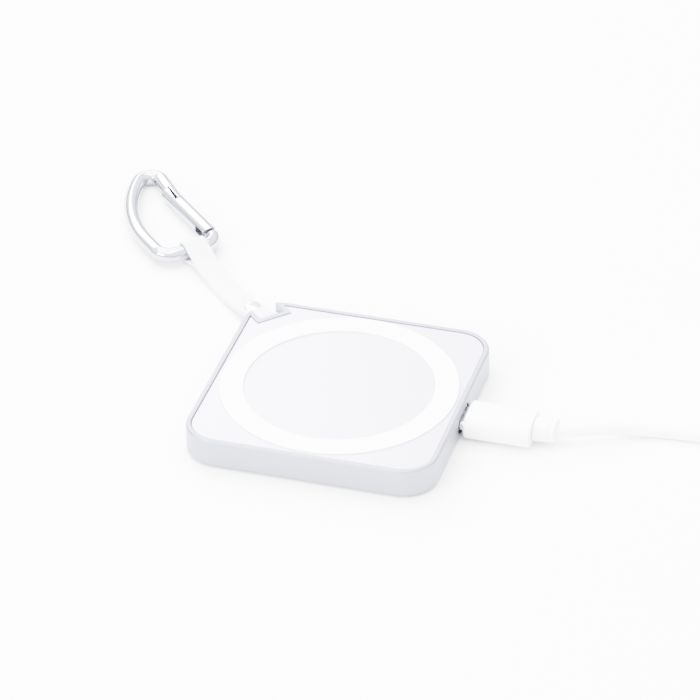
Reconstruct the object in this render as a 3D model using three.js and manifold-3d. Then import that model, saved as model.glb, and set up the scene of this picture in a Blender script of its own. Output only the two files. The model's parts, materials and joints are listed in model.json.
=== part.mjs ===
// Square magnetic wireless charging pad with its USB cable plugged in and a small carabiner on a
// strap at one corner. Millimetres, +Z up. The origin is the centre of the underside of the base
// pad, on the table. +X points out of the cable's port, +Y away from the user.

import * as THREE from 'three';
import { mergeVertices } from 'three/addons/utils/BufferGeometryUtils.js';
import Module from 'manifold-3d';

const wasm = await Module();
wasm.setup();

// ---- driving dimensions -------------------------------------------------------------------

const GAP = 0.3;
const FIT_GAP = 0.15;
const SLIP_GAP = 0.05;

// Aluminium frame.
const FRAME_SIDE = 60;
const FRAME_CORNER = 8.33;
const FRAME_BOTTOM = 0.7;
const FRAME_TOP = 7.5;
const FRAME_WALL = 1.2;
const FRAME_CHAMFER = 0.35;
const LEDGE_WIDTH = 1;
const LEDGE_LOW = 5.6;
const LEDGE_HIGH = 6.05;

// Top panel and the grip ring let into it.
const PANEL_BOTTOM = 6.12;
const PANEL_TOP = 7.2;
const GRIP_OUTER = 28;
const GRIP_INNER = 22.3;
const GRIP_BOTTOM = 6.85;
const GRIP_TOP = 7.6;
const GRIP_EDGE = 0.15;

// Bottom cover, base pad and the screws between them.
const COVER_BOTTOM = 0.8;
const COVER_TOP = 1.8;
const COVER_RECESS_TOP = 1.2;
const BASE_PAD_RADIUS = 22.7;
const BASE_PAD_TOP = 1.15;
const SCREW_OFFSET = 20.65;
const SCREW_HEAD_RADIUS = 1.6;
const SCREW_HEAD_TOP = 1.28;
const SCREW_SHANK_RADIUS = 0.8;
const SCREW_SHANK_TOP = 4;
const BOSS_RADIUS = 2.2;
const BOSS_BOTTOM = 1.85;
const BOSS_TOP = 4.6;

// Electronics under the panel, from the circuit board upwards.
const BOARD_RADIUS = 26.4;
const BOARD_BOTTOM = 3.2;
const BOARD_TOP = 4;
const PART_TOP = 3.15;
const SHIELD_RADIUS = 22.2;
const SHIELD_BOTTOM = 4.08;
const SHIELD_TOP = 4.28;
const FERRITE_RADIUS = 22;
const FERRITE_BOTTOM = 4.35;
const FERRITE_TOP = 4.95;
const COIL_BOTTOM = 5.1;
const COIL_TOP = 5.95;
const COIL_INNER = 10;
const COIL_PITCH = 1.8;
const COIL_STRAND = 1.3;
const COIL_TURNS = 6;
const MAGNET_COUNT = 16;
const MAGNET_INNER = 23.1;
const MAGNET_OUTER = 27;
const MAGNET_SPAN = THREE.MathUtils.degToRad(18.4);
const MAGNET_BOTTOM = 5.25;
const MAGNET_TOP = 6;
const HOLDER_INNER = 22.5;
const HOLDER_OUTER = 27.5;

// Port in the +X wall, and the plug in it.
const PORT_HEIGHT = 3.5;
const PORT_WIDTH = 9.8;
const PORT_TALL = 4.3;
const SOCKET_BACK = 22.6;
const SOCKET_MOUTH = 29.6;
const SOCKET_WIDTH = 8.9;
const SOCKET_TALL = 3.2;
const SOCKET_WALL = 0.3;
const PLUG_TIP = 24.8;
const PLUG_SHELL_WIDTH = 8.2;
const PLUG_SHELL_TALL = 2.4;
const PLUG_SHELL_WALL = 0.3;
const OVERMOLD_START = 31.1;
const OVERMOLD_END = 46.8;
const OVERMOLD_WIDTH = 11;
const OVERMOLD_TALL = 6;
const OVERMOLD_POCKET = 1.5;
const RELIEF_START = 46.9;
const RELIEF_END = 52;
const RELIEF_WIDTH_RATIO = 1.25;
const RELIEF_OFFSET = 0.25;
const RELIEF_BEND = 0.12;

// Strap, its pin across the notch in the back left corner, and its rivet.
const NOTCH_HALF = 3.3;
const NOTCH_DEPTH = 33.6;
const NOTCH_WALL = 1.2;
const CORNER_REACH = 14;
const PIN_PLACE = 36;
const PIN_HEIGHT = 4.1;
const PIN_RADIUS = 0.8;
const PIN_HALF = 4.3;
const STRAP_WIDTH = 6;
const STRAP_LAYER = 0.7;
const STRAP_SAG = 2.4;
const EYE_TAPER = 0.35;
const RIVET_PLACE = 44;
const RIVET_RADIUS = 2.1;
const RIVET_HEIGHT = 0.7;
const RIVET_POST_RADIUS = 0.8;

// Carabiner: its rod's centre line lies in the local XY plane, from the bottom bar at x = 0.
const CLIP_PLACE = 75.2;
const CLIP_OFFSET = 0.6;
const CLIP_HEIGHT = 2.85;
const CLIP_TIP_HEIGHT = 2;
const CLIP_LENGTH = 37;
const CLIP_ROD = 1.88;
const CLIP_CORNER = 3.8;
const SPINE_Y = 7.8;
const SPINE_END = 8.6;
const SPINE_ARC_RADIUS = 40;
const SPINE_ARC_TURN = THREE.MathUtils.degToRad(43.4);
const TIP_ARC_RADIUS = 3.14;
const NOSE_SLOPE = THREE.MathUtils.degToRad(6.5);
const NOSE_BEND = 24;
const NOSE_END = 21.9;
const NOSE_ROOT = 27.8;
const NOSE_ROOT_LAP = -7.5;
const NOSE_END_LAP = -7.1;
const GATE_ROD = 2.1;
const GATE_Y = -7.2;
const GATE_STEP_LAP = -6.1;
const GATE_END_LAP = -7;
const GATE_STEP = 21;
const GATE_END = 27.5;
const GATE_PIVOT = 6;
const GATE_HEEL = 2.1;
const HEEL_ROOM = 3.2;
const TONGUE_HALF = 0.7;
const TONGUE_RADIUS = 1.3;
const TONGUE_START = 2.4;
const GATE_SLOT_HALF = 1;
const GATE_SLOT_END = 8.5;
const PIVOT_PIN_RADIUS = 0.6;
const BORE_RADIUS = 1.05;
const BORE_END = 17.5;
const PLUNGER_RADIUS = 0.75;
const PLUNGER_START = 7.85;
const PLUNGER_END = 10.5;
const SPRING_START = 11;
const SPRING_END = 17.3;
const SPRING_RADIUS = 0.65;
const SPRING_WIRE = 0.14;
const SPRING_TURNS = 6;

// Cable: 1 m long. The route is where it lies on the table before and after its coil.
const CORD_RADIUS = 1.5;
const CORD_ROUTE = [
  [52.4, 0.95, 3.5], [54.5, 1.5, 3.5], [57, 2.45, 3.45], [60, 3.8, 3.3], [63, 5.3, 3],
  [66, 6.8, 2.5], [69, 8.15, 2], [72, 9.1, 1.65], [75, 9.65, 1.5], [79, 10, 1.5],
  [84, 10.3, 1.5], [90, 10.5, 1.5], [96, 10.58, 1.5], [103, 10.6, 1.5], [110, 10.6, 1.5],
];
const CORD_TAIL = [
  [133.5, 34.1, 4.5], [133.9, 38.5, 4.4], [134.3, 43, 3.7], [134.5, 47.5, 2.6], [134.5, 52, 1.8],
  [134, 57, 1.5], [132.1, 61.6, 1.6], [129.2, 65.2, 2], [125.3, 67.8, 2.9], [121.7, 68.8, 3.7],
  [118.4, 69, 4],
];
const COIL_X = 110;
const COIL_Y = 34.1;
const CORD_COIL_INNER = 10;
const CORD_COIL_OUTER = 25;
const CORD_COIL_HEIGHT = 6;
const TIE_WIDTH = 5;
const TIE_THICKNESS = 0.65;
const TIE_SLACK = 0.6;

// Plug at the cable's far end, lying on the table and pointing along -X.
const FAR_PLUG_Y = 69;
const FAR_BOOT_END = 118;
const FAR_OVERMOLD_END = 110;
const FAR_OVERMOLD_START = 90;
const FAR_SHELL_TIP = 77;
const FAR_OVERMOLD_WIDTH = 15.5;
const FAR_OVERMOLD_TALL = 8;
const FAR_SHELL_WIDTH = 12;
const FAR_SHELL_TALL = 4.5;
const FAR_SHELL_WALL = 0.35;
const FAR_POCKET = 3;

// ---- colours and finishes -----------------------------------------------------------------

const finish = (color, roughness, metalness) => () =>
  new THREE.MeshStandardMaterial({ color, roughness, metalness });
const satinAluminium = finish('#d5d8de', 0.38, 0.9);
const polishedAluminium = finish('#dcdce6', 0.15, 1);
const steel = finish('#b9bcc2', 0.25, 1);
const whiteGloss = finish('#f9f8fe', 0.2, 0);
const whiteSatin = finish('#fbfbfc', 0.45, 0);
const whiteRubber = finish('#ffffff', 0.6, 0);
const greyRubber = finish('#c9ccd2', 0.8, 0);
const blackPlastic = finish('#1c1d20', 0.5, 0);
const greenBoard = finish('#1f5c3d', 0.5, 0);
const darkCeramic = finish('#33343a', 0.7, 0);
const tanCeramic = finish('#a98f6c', 0.6, 0);
const copper = finish('#b8733c', 0.35, 0.9);
const nickel = finish('#a9a9a6', 0.3, 1);
const paleLeather = finish('#e4e4e8', 0.65, 0);

// ---- shared shape helpers -----------------------------------------------------------------

function solidOf(geometry) {
  const bare = geometry.clone();
  bare.deleteAttribute('normal');
  bare.deleteAttribute('uv');
  const merged = mergeVertices(bare, 1e-4);
  const corners = merged.index.array;
  const kept = [];
  for (let i = 0; i < corners.length; i += 3) {
    const [a, b, c] = corners.subarray(i, i + 3);
    if (a !== b && b !== c && c !== a) kept.push(a, b, c);
  }
  return new wasm.Manifold(new wasm.Mesh({
    numProp: 3,
    vertProperties: Float32Array.from(merged.attributes.position.array),
    triVerts: Uint32Array.from(kept),
  }));
}

function geometryOf(solid) {
  const mesh = solid.getMesh();
  const geometry = new THREE.BufferGeometry();
  geometry.setAttribute('position', new THREE.BufferAttribute(mesh.vertProperties, 3));
  geometry.setIndex(new THREE.BufferAttribute(mesh.triVerts, 1));
  geometry.computeVertexNormals();
  return geometry;
}

const union = (...geometries) => geometries.map(solidOf).reduce((a, b) => a.add(b));
const without = (solid, ...cuts) => cuts.map(solidOf).reduce((a, b) => a.subtract(b), solid);

function part(name, geometry, material, parent) {
  const mesh = new THREE.Mesh(geometry, material());
  mesh.name = name;
  parent.add(mesh);
  return mesh;
}

function group(parent, x, y, z) {
  const made = new THREE.Group();
  made.position.set(x, y, z);
  parent.add(made);
  return made;
}

function roundedRectangle(width, height, radius) {
  const [x, y] = [width / 2 - radius, height / 2 - radius];
  const shape = new THREE.Shape();
  shape.absarc(x, y, radius, 0, Math.PI / 2);
  shape.absarc(-x, y, radius, Math.PI / 2, Math.PI);
  shape.absarc(-x, -y, radius, Math.PI, Math.PI * 1.5);
  shape.absarc(x, -y, radius, Math.PI * 1.5, Math.PI * 2);
  return shape;
}

function disc(radius) {
  const shape = new THREE.Shape();
  shape.absarc(0, 0, radius, 0, Math.PI * 2);
  return shape;
}

function annularSector(inner, outer, middle, span) {
  const shape = new THREE.Shape();
  shape.absarc(0, 0, outer, middle - span / 2, middle + span / 2);
  shape.absarc(0, 0, inner, middle + span / 2, middle - span / 2, true);
  shape.closePath();
  return shape;
}

function polygon(points) {
  const shape = new THREE.Shape();
  shape.setFromPoints(points);
  return shape;
}

function cornered(...corners) {
  return polygon(corners.map(([x, y]) => new THREE.Vector2(x, y)));
}

// Plate with the outline of the shape, from z = low to z = high.
function plate(shape, low, high, curveSegments = 5) {
  return new THREE.ExtrudeGeometry(shape, { depth: high - low, bevelEnabled: false, curveSegments })
    .translate(0, 0, low);
}

// The same with its edges chamfered or rounded inside the outline.
function bevelledPlate(shape, low, high, bevel, bevelSegments = 1, curveSegments = 5) {
  return new THREE.ExtrudeGeometry(shape, {
    depth: high - low - 2 * bevel,
    bevelThickness: bevel,
    bevelSize: bevel,
    bevelOffset: -bevel,
    bevelSegments,
    curveSegments,
  }).translate(0, 0, low + bevel);
}

// Stands a plate up, so that its thickness runs along +X and its outline's width along Y.
const alongX = (geometry) => geometry.rotateX(Math.PI / 2).rotateZ(Math.PI / 2);

const box = (width, depth, height, x, y, z) =>
  new THREE.BoxGeometry(width, depth, height).translate(x, y, z);

const post = (radius, low, high, sides = 14) =>
  new THREE.CylinderGeometry(radius, radius, high - low, sides)
    .rotateX(Math.PI / 2)
    .translate(0, 0, (low + high) / 2);

const rodAlongX = (radius, start, end, sides = 12) =>
  new THREE.CylinderGeometry(radius, radius, end - start, sides)
    .rotateZ(-Math.PI / 2)
    .translate((start + end) / 2, 0, 0);

const rodAlongY = (radius, half, sides = 12) =>
  new THREE.CylinderGeometry(radius, radius, 2 * half, sides);

// Turned shape about +Z: the profile is a list of [radius, z].
const turned = (profile, sides = 36) =>
  new THREE.LatheGeometry(profile.map(([r, z]) => new THREE.Vector2(r, z)), sides)
    .rotateX(Math.PI / 2);

function tube(points, radius, steps, sides) {
  const path = new THREE.CatmullRomCurve3(points, false, 'centripetal');
  return new THREE.ExtrudeGeometry(disc(radius), {
    steps,
    extrudePath: path,
    bevelEnabled: false,
    curveSegments: sides / 2,
  });
}

const toVectors = (route) => route.map(([x, y, z]) => new THREE.Vector3(x, y, z));

// ---- pad: housing -------------------------------------------------------------------------

const object = new THREE.Group();
const pad = group(object, 0, 0, 0);
const screwPlaces = [[1, 1], [-1, 1], [-1, -1], [1, -1]];
const CORNER_TURN = Math.PI * 0.75;
const CAVITY_SIDE = FRAME_SIDE - 2 * FRAME_WALL;
const CAVITY_CORNER = FRAME_CORNER - FRAME_WALL;

// Block at the back left corner, across the strap's notch, outward from a distance along the
// diagonal.
const cornerBlock = (half, start, low, high) =>
  box(CORNER_REACH, 2 * half, high - low, start + CORNER_REACH / 2, 0, (low + high) / 2)
    .rotateZ(CORNER_TURN);

function buildFrame() {
  const outline = roundedRectangle(FRAME_SIDE, FRAME_SIDE, FRAME_CORNER);
  const block = bevelledPlate(outline, FRAME_BOTTOM, FRAME_TOP, FRAME_CHAMFER);
  const cavity = roundedRectangle(CAVITY_SIDE, CAVITY_SIDE, CAVITY_CORNER);
  const throatSide = CAVITY_SIDE - 2 * LEDGE_WIDTH;
  const throat = roundedRectangle(throatSide, throatSide, CAVITY_CORNER - LEDGE_WIDTH);
  const hollow = union(
    plate(cavity, FRAME_BOTTOM - 1, LEDGE_LOW),
    plate(throat, LEDGE_LOW - 0.5, LEDGE_HIGH + 0.5),
    plate(cavity, LEDGE_HIGH, FRAME_TOP + 1),
  );
  const bosses = screwPlaces.flatMap(([sx, sy]) => [
    post(BOSS_RADIUS, BOSS_BOTTOM, BOSS_TOP).translate(sx * SCREW_OFFSET, sy * SCREW_OFFSET, 0),
    box(8, 2, BOSS_TOP - BOSS_BOTTOM, 34.5, 0, (BOSS_TOP + BOSS_BOTTOM) / 2)
      .rotateZ(Math.atan2(sy, sx)),
  ]);
  const wall = cornerBlock(
    NOTCH_HALF + NOTCH_WALL, NOTCH_DEPTH - NOTCH_WALL, FRAME_BOTTOM - 1, FRAME_TOP + 1,
  );
  const inner = union(wall, ...bosses).intersect(solidOf(block));
  const pinHole = rodAlongY(PIN_RADIUS + SLIP_GAP, PIN_HALF + 1)
    .translate(PIN_PLACE, 0, PIN_HEIGHT)
    .rotateZ(CORNER_TURN);
  const opening = roundedRectangle(PORT_WIDTH, PORT_TALL, PORT_TALL / 2 - 0.01);
  const port = alongX(plate(opening, FRAME_SIDE / 2 - 2, FRAME_SIDE / 2 + 1))
    .translate(0, 0, PORT_HEIGHT);
  const screwHoles = screwPlaces.map(([sx, sy]) =>
    post(SCREW_SHANK_RADIUS + FIT_GAP, BOSS_BOTTOM - 1, SCREW_SHANK_TOP + 0.2)
      .translate(sx * SCREW_OFFSET, sy * SCREW_OFFSET, 0));
  const shell = solidOf(block).subtract(hollow).add(inner);
  const notch = cornerBlock(NOTCH_HALF, NOTCH_DEPTH, FRAME_BOTTOM - 1, FRAME_TOP + 1);
  part('frame', geometryOf(without(shell, notch, pinHole, port, ...screwHoles)),
    satinAluminium, pad);
}

function buildTopPanel() {
  const side = CAVITY_SIDE - 2 * FIT_GAP;
  const outline = roundedRectangle(side, side, CAVITY_CORNER - FIT_GAP);
  const blank = union(
    plate(outline, PANEL_BOTTOM, PANEL_TOP - 0.4),
    bevelledPlate(outline, PANEL_BOTTOM + 0.2, PANEL_TOP, GRIP_EDGE),
  );
  const groove = turned([
    [GRIP_INNER - FIT_GAP, GRIP_BOTTOM - SLIP_GAP], [GRIP_OUTER + FIT_GAP, GRIP_BOTTOM - SLIP_GAP],
    [GRIP_OUTER + FIT_GAP, GRIP_TOP + 1], [GRIP_INNER - FIT_GAP, GRIP_TOP + 1],
    [GRIP_INNER - FIT_GAP, GRIP_BOTTOM - SLIP_GAP],
  ], 48);
  const clearance = cornerBlock(
    NOTCH_HALF + NOTCH_WALL + FIT_GAP, NOTCH_DEPTH - NOTCH_WALL - FIT_GAP,
    PANEL_BOTTOM - 1, PANEL_TOP + 1,
  );
  part('top_panel', geometryOf(without(blank, groove, clearance)), whiteGloss, pad);
  const ring = turned([
    [GRIP_INNER, GRIP_BOTTOM], [GRIP_OUTER, GRIP_BOTTOM], [GRIP_OUTER, GRIP_TOP - GRIP_EDGE],
    [GRIP_OUTER - GRIP_EDGE, GRIP_TOP], [GRIP_INNER + GRIP_EDGE, GRIP_TOP],
    [GRIP_INNER, GRIP_TOP - GRIP_EDGE], [GRIP_INNER, GRIP_BOTTOM],
  ], 48);
  part('grip_ring', ring, whiteRubber, pad);
}

function buildBottom() {
  const side = CAVITY_SIDE - 2 * FIT_GAP;
  const outline = roundedRectangle(side, side, CAVITY_CORNER - FIT_GAP);
  const holes = screwPlaces.flatMap(([sx, sy]) => [
    post(SCREW_SHANK_RADIUS + FIT_GAP, COVER_BOTTOM - 1, COVER_TOP + 1),
    post(SCREW_HEAD_RADIUS + FIT_GAP, COVER_BOTTOM - 1, SCREW_HEAD_TOP + SLIP_GAP),
  ].map((hole) => hole.translate(sx * SCREW_OFFSET, sy * SCREW_OFFSET, 0)));
  const recess = post(BASE_PAD_RADIUS + FIT_GAP, COVER_BOTTOM - 1, COVER_RECESS_TOP, 36);
  const clearance = cornerBlock(
    NOTCH_HALF + NOTCH_WALL + FIT_GAP, NOTCH_DEPTH - NOTCH_WALL - FIT_GAP,
    COVER_BOTTOM - 1, COVER_TOP + 1,
  );
  const cover = without(union(plate(outline, COVER_BOTTOM, COVER_TOP)), recess, clearance, ...holes);
  part('bottom_cover', geometryOf(cover), whiteSatin, pad);
  const basePad = turned([
    [0, 0], [BASE_PAD_RADIUS - 0.3, 0], [BASE_PAD_RADIUS, 0.3], [BASE_PAD_RADIUS, BASE_PAD_TOP],
    [0, BASE_PAD_TOP],
  ]);
  part('base_pad', basePad, greyRubber, pad);
  const screw = turned([
    [0, COVER_BOTTOM + 0.05], [SCREW_HEAD_RADIUS - 0.2, COVER_BOTTOM + 0.05],
    [SCREW_HEAD_RADIUS, COVER_BOTTOM + 0.25], [SCREW_HEAD_RADIUS, SCREW_HEAD_TOP],
    [SCREW_SHANK_RADIUS, SCREW_HEAD_TOP], [SCREW_SHANK_RADIUS, SCREW_SHANK_TOP],
    [0, SCREW_SHANK_TOP],
  ], 20);
  const slots = [box(2, 0.4, 0.6, 0, 0, COVER_BOTTOM), box(0.4, 2, 0.6, 0, 0, COVER_BOTTOM)];
  const crossHead = geometryOf(without(solidOf(screw), ...slots));
  screwPlaces.forEach(([sx, sy], i) =>
    part(`screw_${i + 1}`, crossHead, steel, group(pad, sx * SCREW_OFFSET, sy * SCREW_OFFSET, 0)));
}

// ---- pad: electronics ---------------------------------------------------------------------

function buildBoard() {
  const cutHalf = SOCKET_WIDTH / 2 + 0.25;
  const cutStart = SOCKET_BACK - 0.2;
  const rimAngle = Math.asin(cutHalf / BOARD_RADIUS);
  const outline = new THREE.Shape();
  outline.absarc(0, 0, BOARD_RADIUS, rimAngle, Math.PI * 2 - rimAngle);
  outline.lineTo(cutStart, -cutHalf);
  outline.lineTo(cutStart, cutHalf);
  outline.closePath();
  part('circuit_board', plate(outline, BOARD_BOTTOM, BOARD_TOP, 14), greenBoard, pad);
  part('charger_chip', box(5, 5, 0.9, 7, 6, PART_TOP - 0.45), blackPlastic, pad);
  const choke = bevelledPlate(roundedRectangle(5, 5, 0.8), PART_TOP - 1.05, PART_TOP, 0.2, 1, 2);
  part('power_inductor', choke.translate(12, -8, 0), darkCeramic, pad);
  for (let i = 0; i < 4; i += 1) {
    part(`capacitor_${i + 1}`, box(1.6, 0.9, 0.8, -3 + 3 * i, -2, PART_TOP - 0.4), tanCeramic, pad);
  }
}

function buildChargingCoil() {
  part('shield_plate', plate(disc(SHIELD_RADIUS), SHIELD_BOTTOM, SHIELD_TOP, 16), steel, pad);
  part('ferrite_plate', plate(disc(FERRITE_RADIUS), FERRITE_BOTTOM, FERRITE_TOP, 16),
    darkCeramic, pad);
  const steps = COIL_TURNS * 24;
  const spiral = (start) => Array.from({ length: steps + 1 }, (_, i) => {
    const angle = (i / steps) * COIL_TURNS * Math.PI * 2;
    const radius = start + (COIL_PITCH * angle) / (Math.PI * 2);
    return new THREE.Vector2(radius * Math.cos(angle), radius * Math.sin(angle));
  });
  const winding = polygon([...spiral(COIL_INNER + COIL_STRAND), ...spiral(COIL_INNER).reverse()]);
  part('charging_coil', plate(winding, COIL_BOTTOM, COIL_TOP), copper, pad);
  part('temperature_sensor', box(2.4, 1.2, 0.8, 3, 0, (COIL_BOTTOM + COIL_TOP) / 2),
    blackPlastic, pad);
}

function buildMagnets() {
  const holder = disc(HOLDER_OUTER);
  holder.holes.push(disc(HOLDER_INNER));
  const pockets = [];
  for (let i = 0; i < MAGNET_COUNT; i += 1) {
    const angle = ((i + 0.5) / MAGNET_COUNT) * Math.PI * 2;
    const pocket = annularSector(
      MAGNET_INNER - 0.15, MAGNET_OUTER + 0.15, angle, MAGNET_SPAN + 0.012,
    );
    pockets.push(plate(pocket, MAGNET_BOTTOM - 1, MAGNET_TOP + 1, 2));
    const magnet = annularSector(MAGNET_INNER, MAGNET_OUTER, angle, MAGNET_SPAN);
    part(`magnet_${i + 1}`, plate(magnet, MAGNET_BOTTOM, MAGNET_TOP, 2), nickel, pad);
  }
  const ring = union(plate(holder, MAGNET_BOTTOM, MAGNET_TOP, 16));
  part('magnet_holder', geometryOf(without(ring, ...pockets)), whiteSatin, pad);
}

// ---- port and USB-C plug ------------------------------------------------------------------

const stadium = (width, height) => roundedRectangle(width, height, height / 2 - 0.01);

function buildSocket(parent) {
  const shell = union(alongX(plate(stadium(SOCKET_WIDTH, SOCKET_TALL), SOCKET_BACK, SOCKET_MOUTH)));
  const throat = alongX(plate(
    stadium(SOCKET_WIDTH - 2 * SOCKET_WALL, SOCKET_TALL - 2 * SOCKET_WALL),
    SOCKET_BACK + SOCKET_WALL, SOCKET_MOUTH + 1,
  ));
  part('socket_shell', geometryOf(without(shell, throat)), steel, parent);
  const start = SOCKET_BACK + SOCKET_WALL + SLIP_GAP;
  const tongue = box(SOCKET_MOUTH - 1.2 - start, 6.6, 0.7, (SOCKET_MOUTH - 1.2 + start) / 2, 0, 0);
  part('socket_tongue', tongue, blackPlastic, parent);
}

function buildPlug(parent) {
  const shellEnd = OVERMOLD_START + OVERMOLD_POCKET - SLIP_GAP;
  const shell = union(alongX(plate(stadium(PLUG_SHELL_WIDTH, PLUG_SHELL_TALL), PLUG_TIP, shellEnd)));
  const innerWidth = PLUG_SHELL_WIDTH - 2 * PLUG_SHELL_WALL;
  const innerTall = PLUG_SHELL_TALL - 2 * PLUG_SHELL_WALL;
  const bore = alongX(plate(stadium(innerWidth, innerTall), PLUG_TIP - 1, shellEnd + 1));
  part('plug_shell', geometryOf(without(shell, bore)), steel, parent);
  const insert = union(alongX(plate(
    stadium(innerWidth - 0.1, innerTall - 0.1), PLUG_TIP + 0.3, shellEnd,
  )));
  const slot = box(6, 7, 1.1, PLUG_TIP + 2.7, 0, 0);
  part('plug_insert', geometryOf(without(insert, slot)), blackPlastic, parent);
  const body = union(alongX(bevelledPlate(
    roundedRectangle(OVERMOLD_WIDTH, OVERMOLD_TALL, OVERMOLD_TALL / 2 - 0.05),
    OVERMOLD_START, OVERMOLD_END, 0.5, 2,
  )));
  const pocket = alongX(plate(
    stadium(PLUG_SHELL_WIDTH + 0.1, PLUG_SHELL_TALL + 0.1),
    OVERMOLD_START - 1, OVERMOLD_START + OVERMOLD_POCKET,
  ));
  part('plug_overmold', geometryOf(without(body, pocket)), whiteSatin, parent);
  const relief = alongX(turned([
    [0, RELIEF_START], [2.4, RELIEF_START], [2.55, RELIEF_START + 0.3], [2.5, RELIEF_END - 1.4],
    [2.35, RELIEF_END - 1.2], [2.35, RELIEF_END - 0.9], [2.5, RELIEF_END - 0.7],
    [2.5, RELIEF_END - 0.2], [2.35, RELIEF_END], [0, RELIEF_END],
  ], 16).scale(RELIEF_WIDTH_RATIO, 1, 1));
  const bend = new THREE.Matrix4().makeShear(RELIEF_BEND, 0, 0, 0, 0, 0);
  relief.translate(-RELIEF_START, 0, 0).applyMatrix4(bend);
  part('strain_relief', relief.translate(RELIEF_START, RELIEF_OFFSET, 0), whiteSatin, parent);
}

// ---- strap at the back left corner --------------------------------------------------------

// Half the strap's thickness at a distance from an eye's centre, towards the middle of the strap.
function eyeProfile(distance, radius) {
  if (distance < radius * EYE_TAPER) {
    return Math.sqrt(Math.max(radius ** 2 - distance ** 2, 0));
  }
  const slope = Math.sqrt(1 - EYE_TAPER ** 2);
  return Math.max((radius - distance * EYE_TAPER) / slope, 0);
}

function strapMiddle(x) {
  const share = THREE.MathUtils.clamp((x - PIN_PLACE) / (CLIP_PLACE - PIN_PLACE), 0, 1);
  const straight = THREE.MathUtils.lerp(PIN_HEIGHT, CLIP_HEIGHT, share);
  return straight - STRAP_SAG * Math.sin(Math.PI * share) ** 2;
}

function strapOutline(start, end, halfAt, count) {
  const places = Array.from({ length: count + 1 }, (_, i) =>
    THREE.MathUtils.lerp(start, end, (1 - Math.cos((Math.PI * i) / count)) / 2));
  const upper = places.map((x) => new THREE.Vector2(x, strapMiddle(x) + halfAt(x)));
  const lower = places.slice(1, -1).map((x) => new THREE.Vector2(x, strapMiddle(x) - halfAt(x)));
  return [...upper.reverse(), ...lower];
}

// Turns an outline drawn in X and Z into a band across Y.
const acrossY = (shape, width) =>
  plate(shape, -width / 2, width / 2).rotateX(Math.PI / 2);

function buildStrap(corner) {
  const pinEye = PIN_RADIUS + FIT_GAP;
  const clipEye = CLIP_ROD + FIT_GAP;
  const pinOuter = pinEye + STRAP_LAYER;
  const clipOuter = clipEye + STRAP_LAYER;
  const half = (x) => Math.max(
    x > PIN_PLACE && x < CLIP_PLACE ? STRAP_LAYER : 0,
    eyeProfile(x - PIN_PLACE, pinOuter),
    eyeProfile(CLIP_PLACE - x, clipOuter),
  );
  const outline = polygon(strapOutline(PIN_PLACE - pinOuter, CLIP_PLACE + clipOuter, half, 48));
  outline.holes.push(
    polygon(strapOutline(
      PIN_PLACE - pinEye, PIN_PLACE + pinEye / EYE_TAPER,
      (x) => eyeProfile(x - PIN_PLACE, pinEye), 14,
    )),
    polygon(strapOutline(
      CLIP_PLACE - clipEye / EYE_TAPER, CLIP_PLACE + clipEye,
      (x) => eyeProfile(CLIP_PLACE - x, clipEye), 18,
    )),
  );
  const slope = (strapMiddle(RIVET_PLACE + 1) - strapMiddle(RIVET_PLACE - 1)) / 2;
  const rivetHole = post(RIVET_POST_RADIUS + 0.2, -3, 3)
    .rotateY(-Math.atan(slope))
    .translate(RIVET_PLACE, 0, strapMiddle(RIVET_PLACE));
  const band = without(union(acrossY(outline, STRAP_WIDTH)), rivetHole);
  part('strap', geometryOf(band), paleLeather, corner);
  part('strap_pin', rodAlongY(PIN_RADIUS, PIN_HALF).translate(PIN_PLACE, 0, PIN_HEIGHT),
    steel, corner);

  const rivet = group(corner, RIVET_PLACE, 0, strapMiddle(RIVET_PLACE));
  rivet.rotation.y = -Math.atan(slope);
  const face = STRAP_LAYER + 0.1;
  const cap = (postEnd) => turned([
    [0, postEnd], [RIVET_POST_RADIUS, postEnd], [RIVET_POST_RADIUS, face], [RIVET_RADIUS, face],
    [RIVET_RADIUS, face + RIVET_HEIGHT * 0.4], [RIVET_RADIUS * 0.8, face + RIVET_HEIGHT * 0.85],
    [0, face + RIVET_HEIGHT],
  ], 16);
  part('rivet_cap', cap(0.15), steel, rivet);
  const stud = part('rivet_stud', cap(0.15), steel, rivet);
  stud.rotation.x = Math.PI;
}

// ---- carabiner ----------------------------------------------------------------------------

function clipCentreLine() {
  const path = new THREE.Path();
  const quarter = Math.PI / 2;
  const bigX = SPINE_END;
  const bigY = SPINE_Y - SPINE_ARC_RADIUS;
  const reach = SPINE_ARC_RADIUS - TIP_ARC_RADIUS;
  const tipX = bigX + reach * Math.sin(SPINE_ARC_TURN);
  const tipY = bigY + reach * Math.cos(SPINE_ARC_TURN);
  const tipEnd = -quarter - NOSE_SLOPE;
  path.absarc(CLIP_CORNER, GATE_Y + CLIP_CORNER, CLIP_CORNER, -quarter, -Math.PI, true);
  path.absarc(CLIP_CORNER, SPINE_Y - CLIP_CORNER, CLIP_CORNER, Math.PI, quarter, true);
  path.absarc(bigX, bigY, SPINE_ARC_RADIUS, quarter, quarter - SPINE_ARC_TURN, true);
  path.absarc(tipX, tipY, TIP_ARC_RADIUS, quarter - SPINE_ARC_TURN, tipEnd, true);
  const noseX = tipX + TIP_ARC_RADIUS * Math.cos(tipEnd);
  const noseY = tipY + TIP_ARC_RADIUS * Math.sin(tipEnd);
  const bendY = noseY + (noseX - NOSE_BEND) * Math.tan(NOSE_SLOPE);
  path.lineTo(NOSE_BEND, bendY);
  path.lineTo(NOSE_END, bendY);
  return path.getSpacedPoints(90).map(({ x, y }) => new THREE.Vector3(x, y, 0));
}

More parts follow.
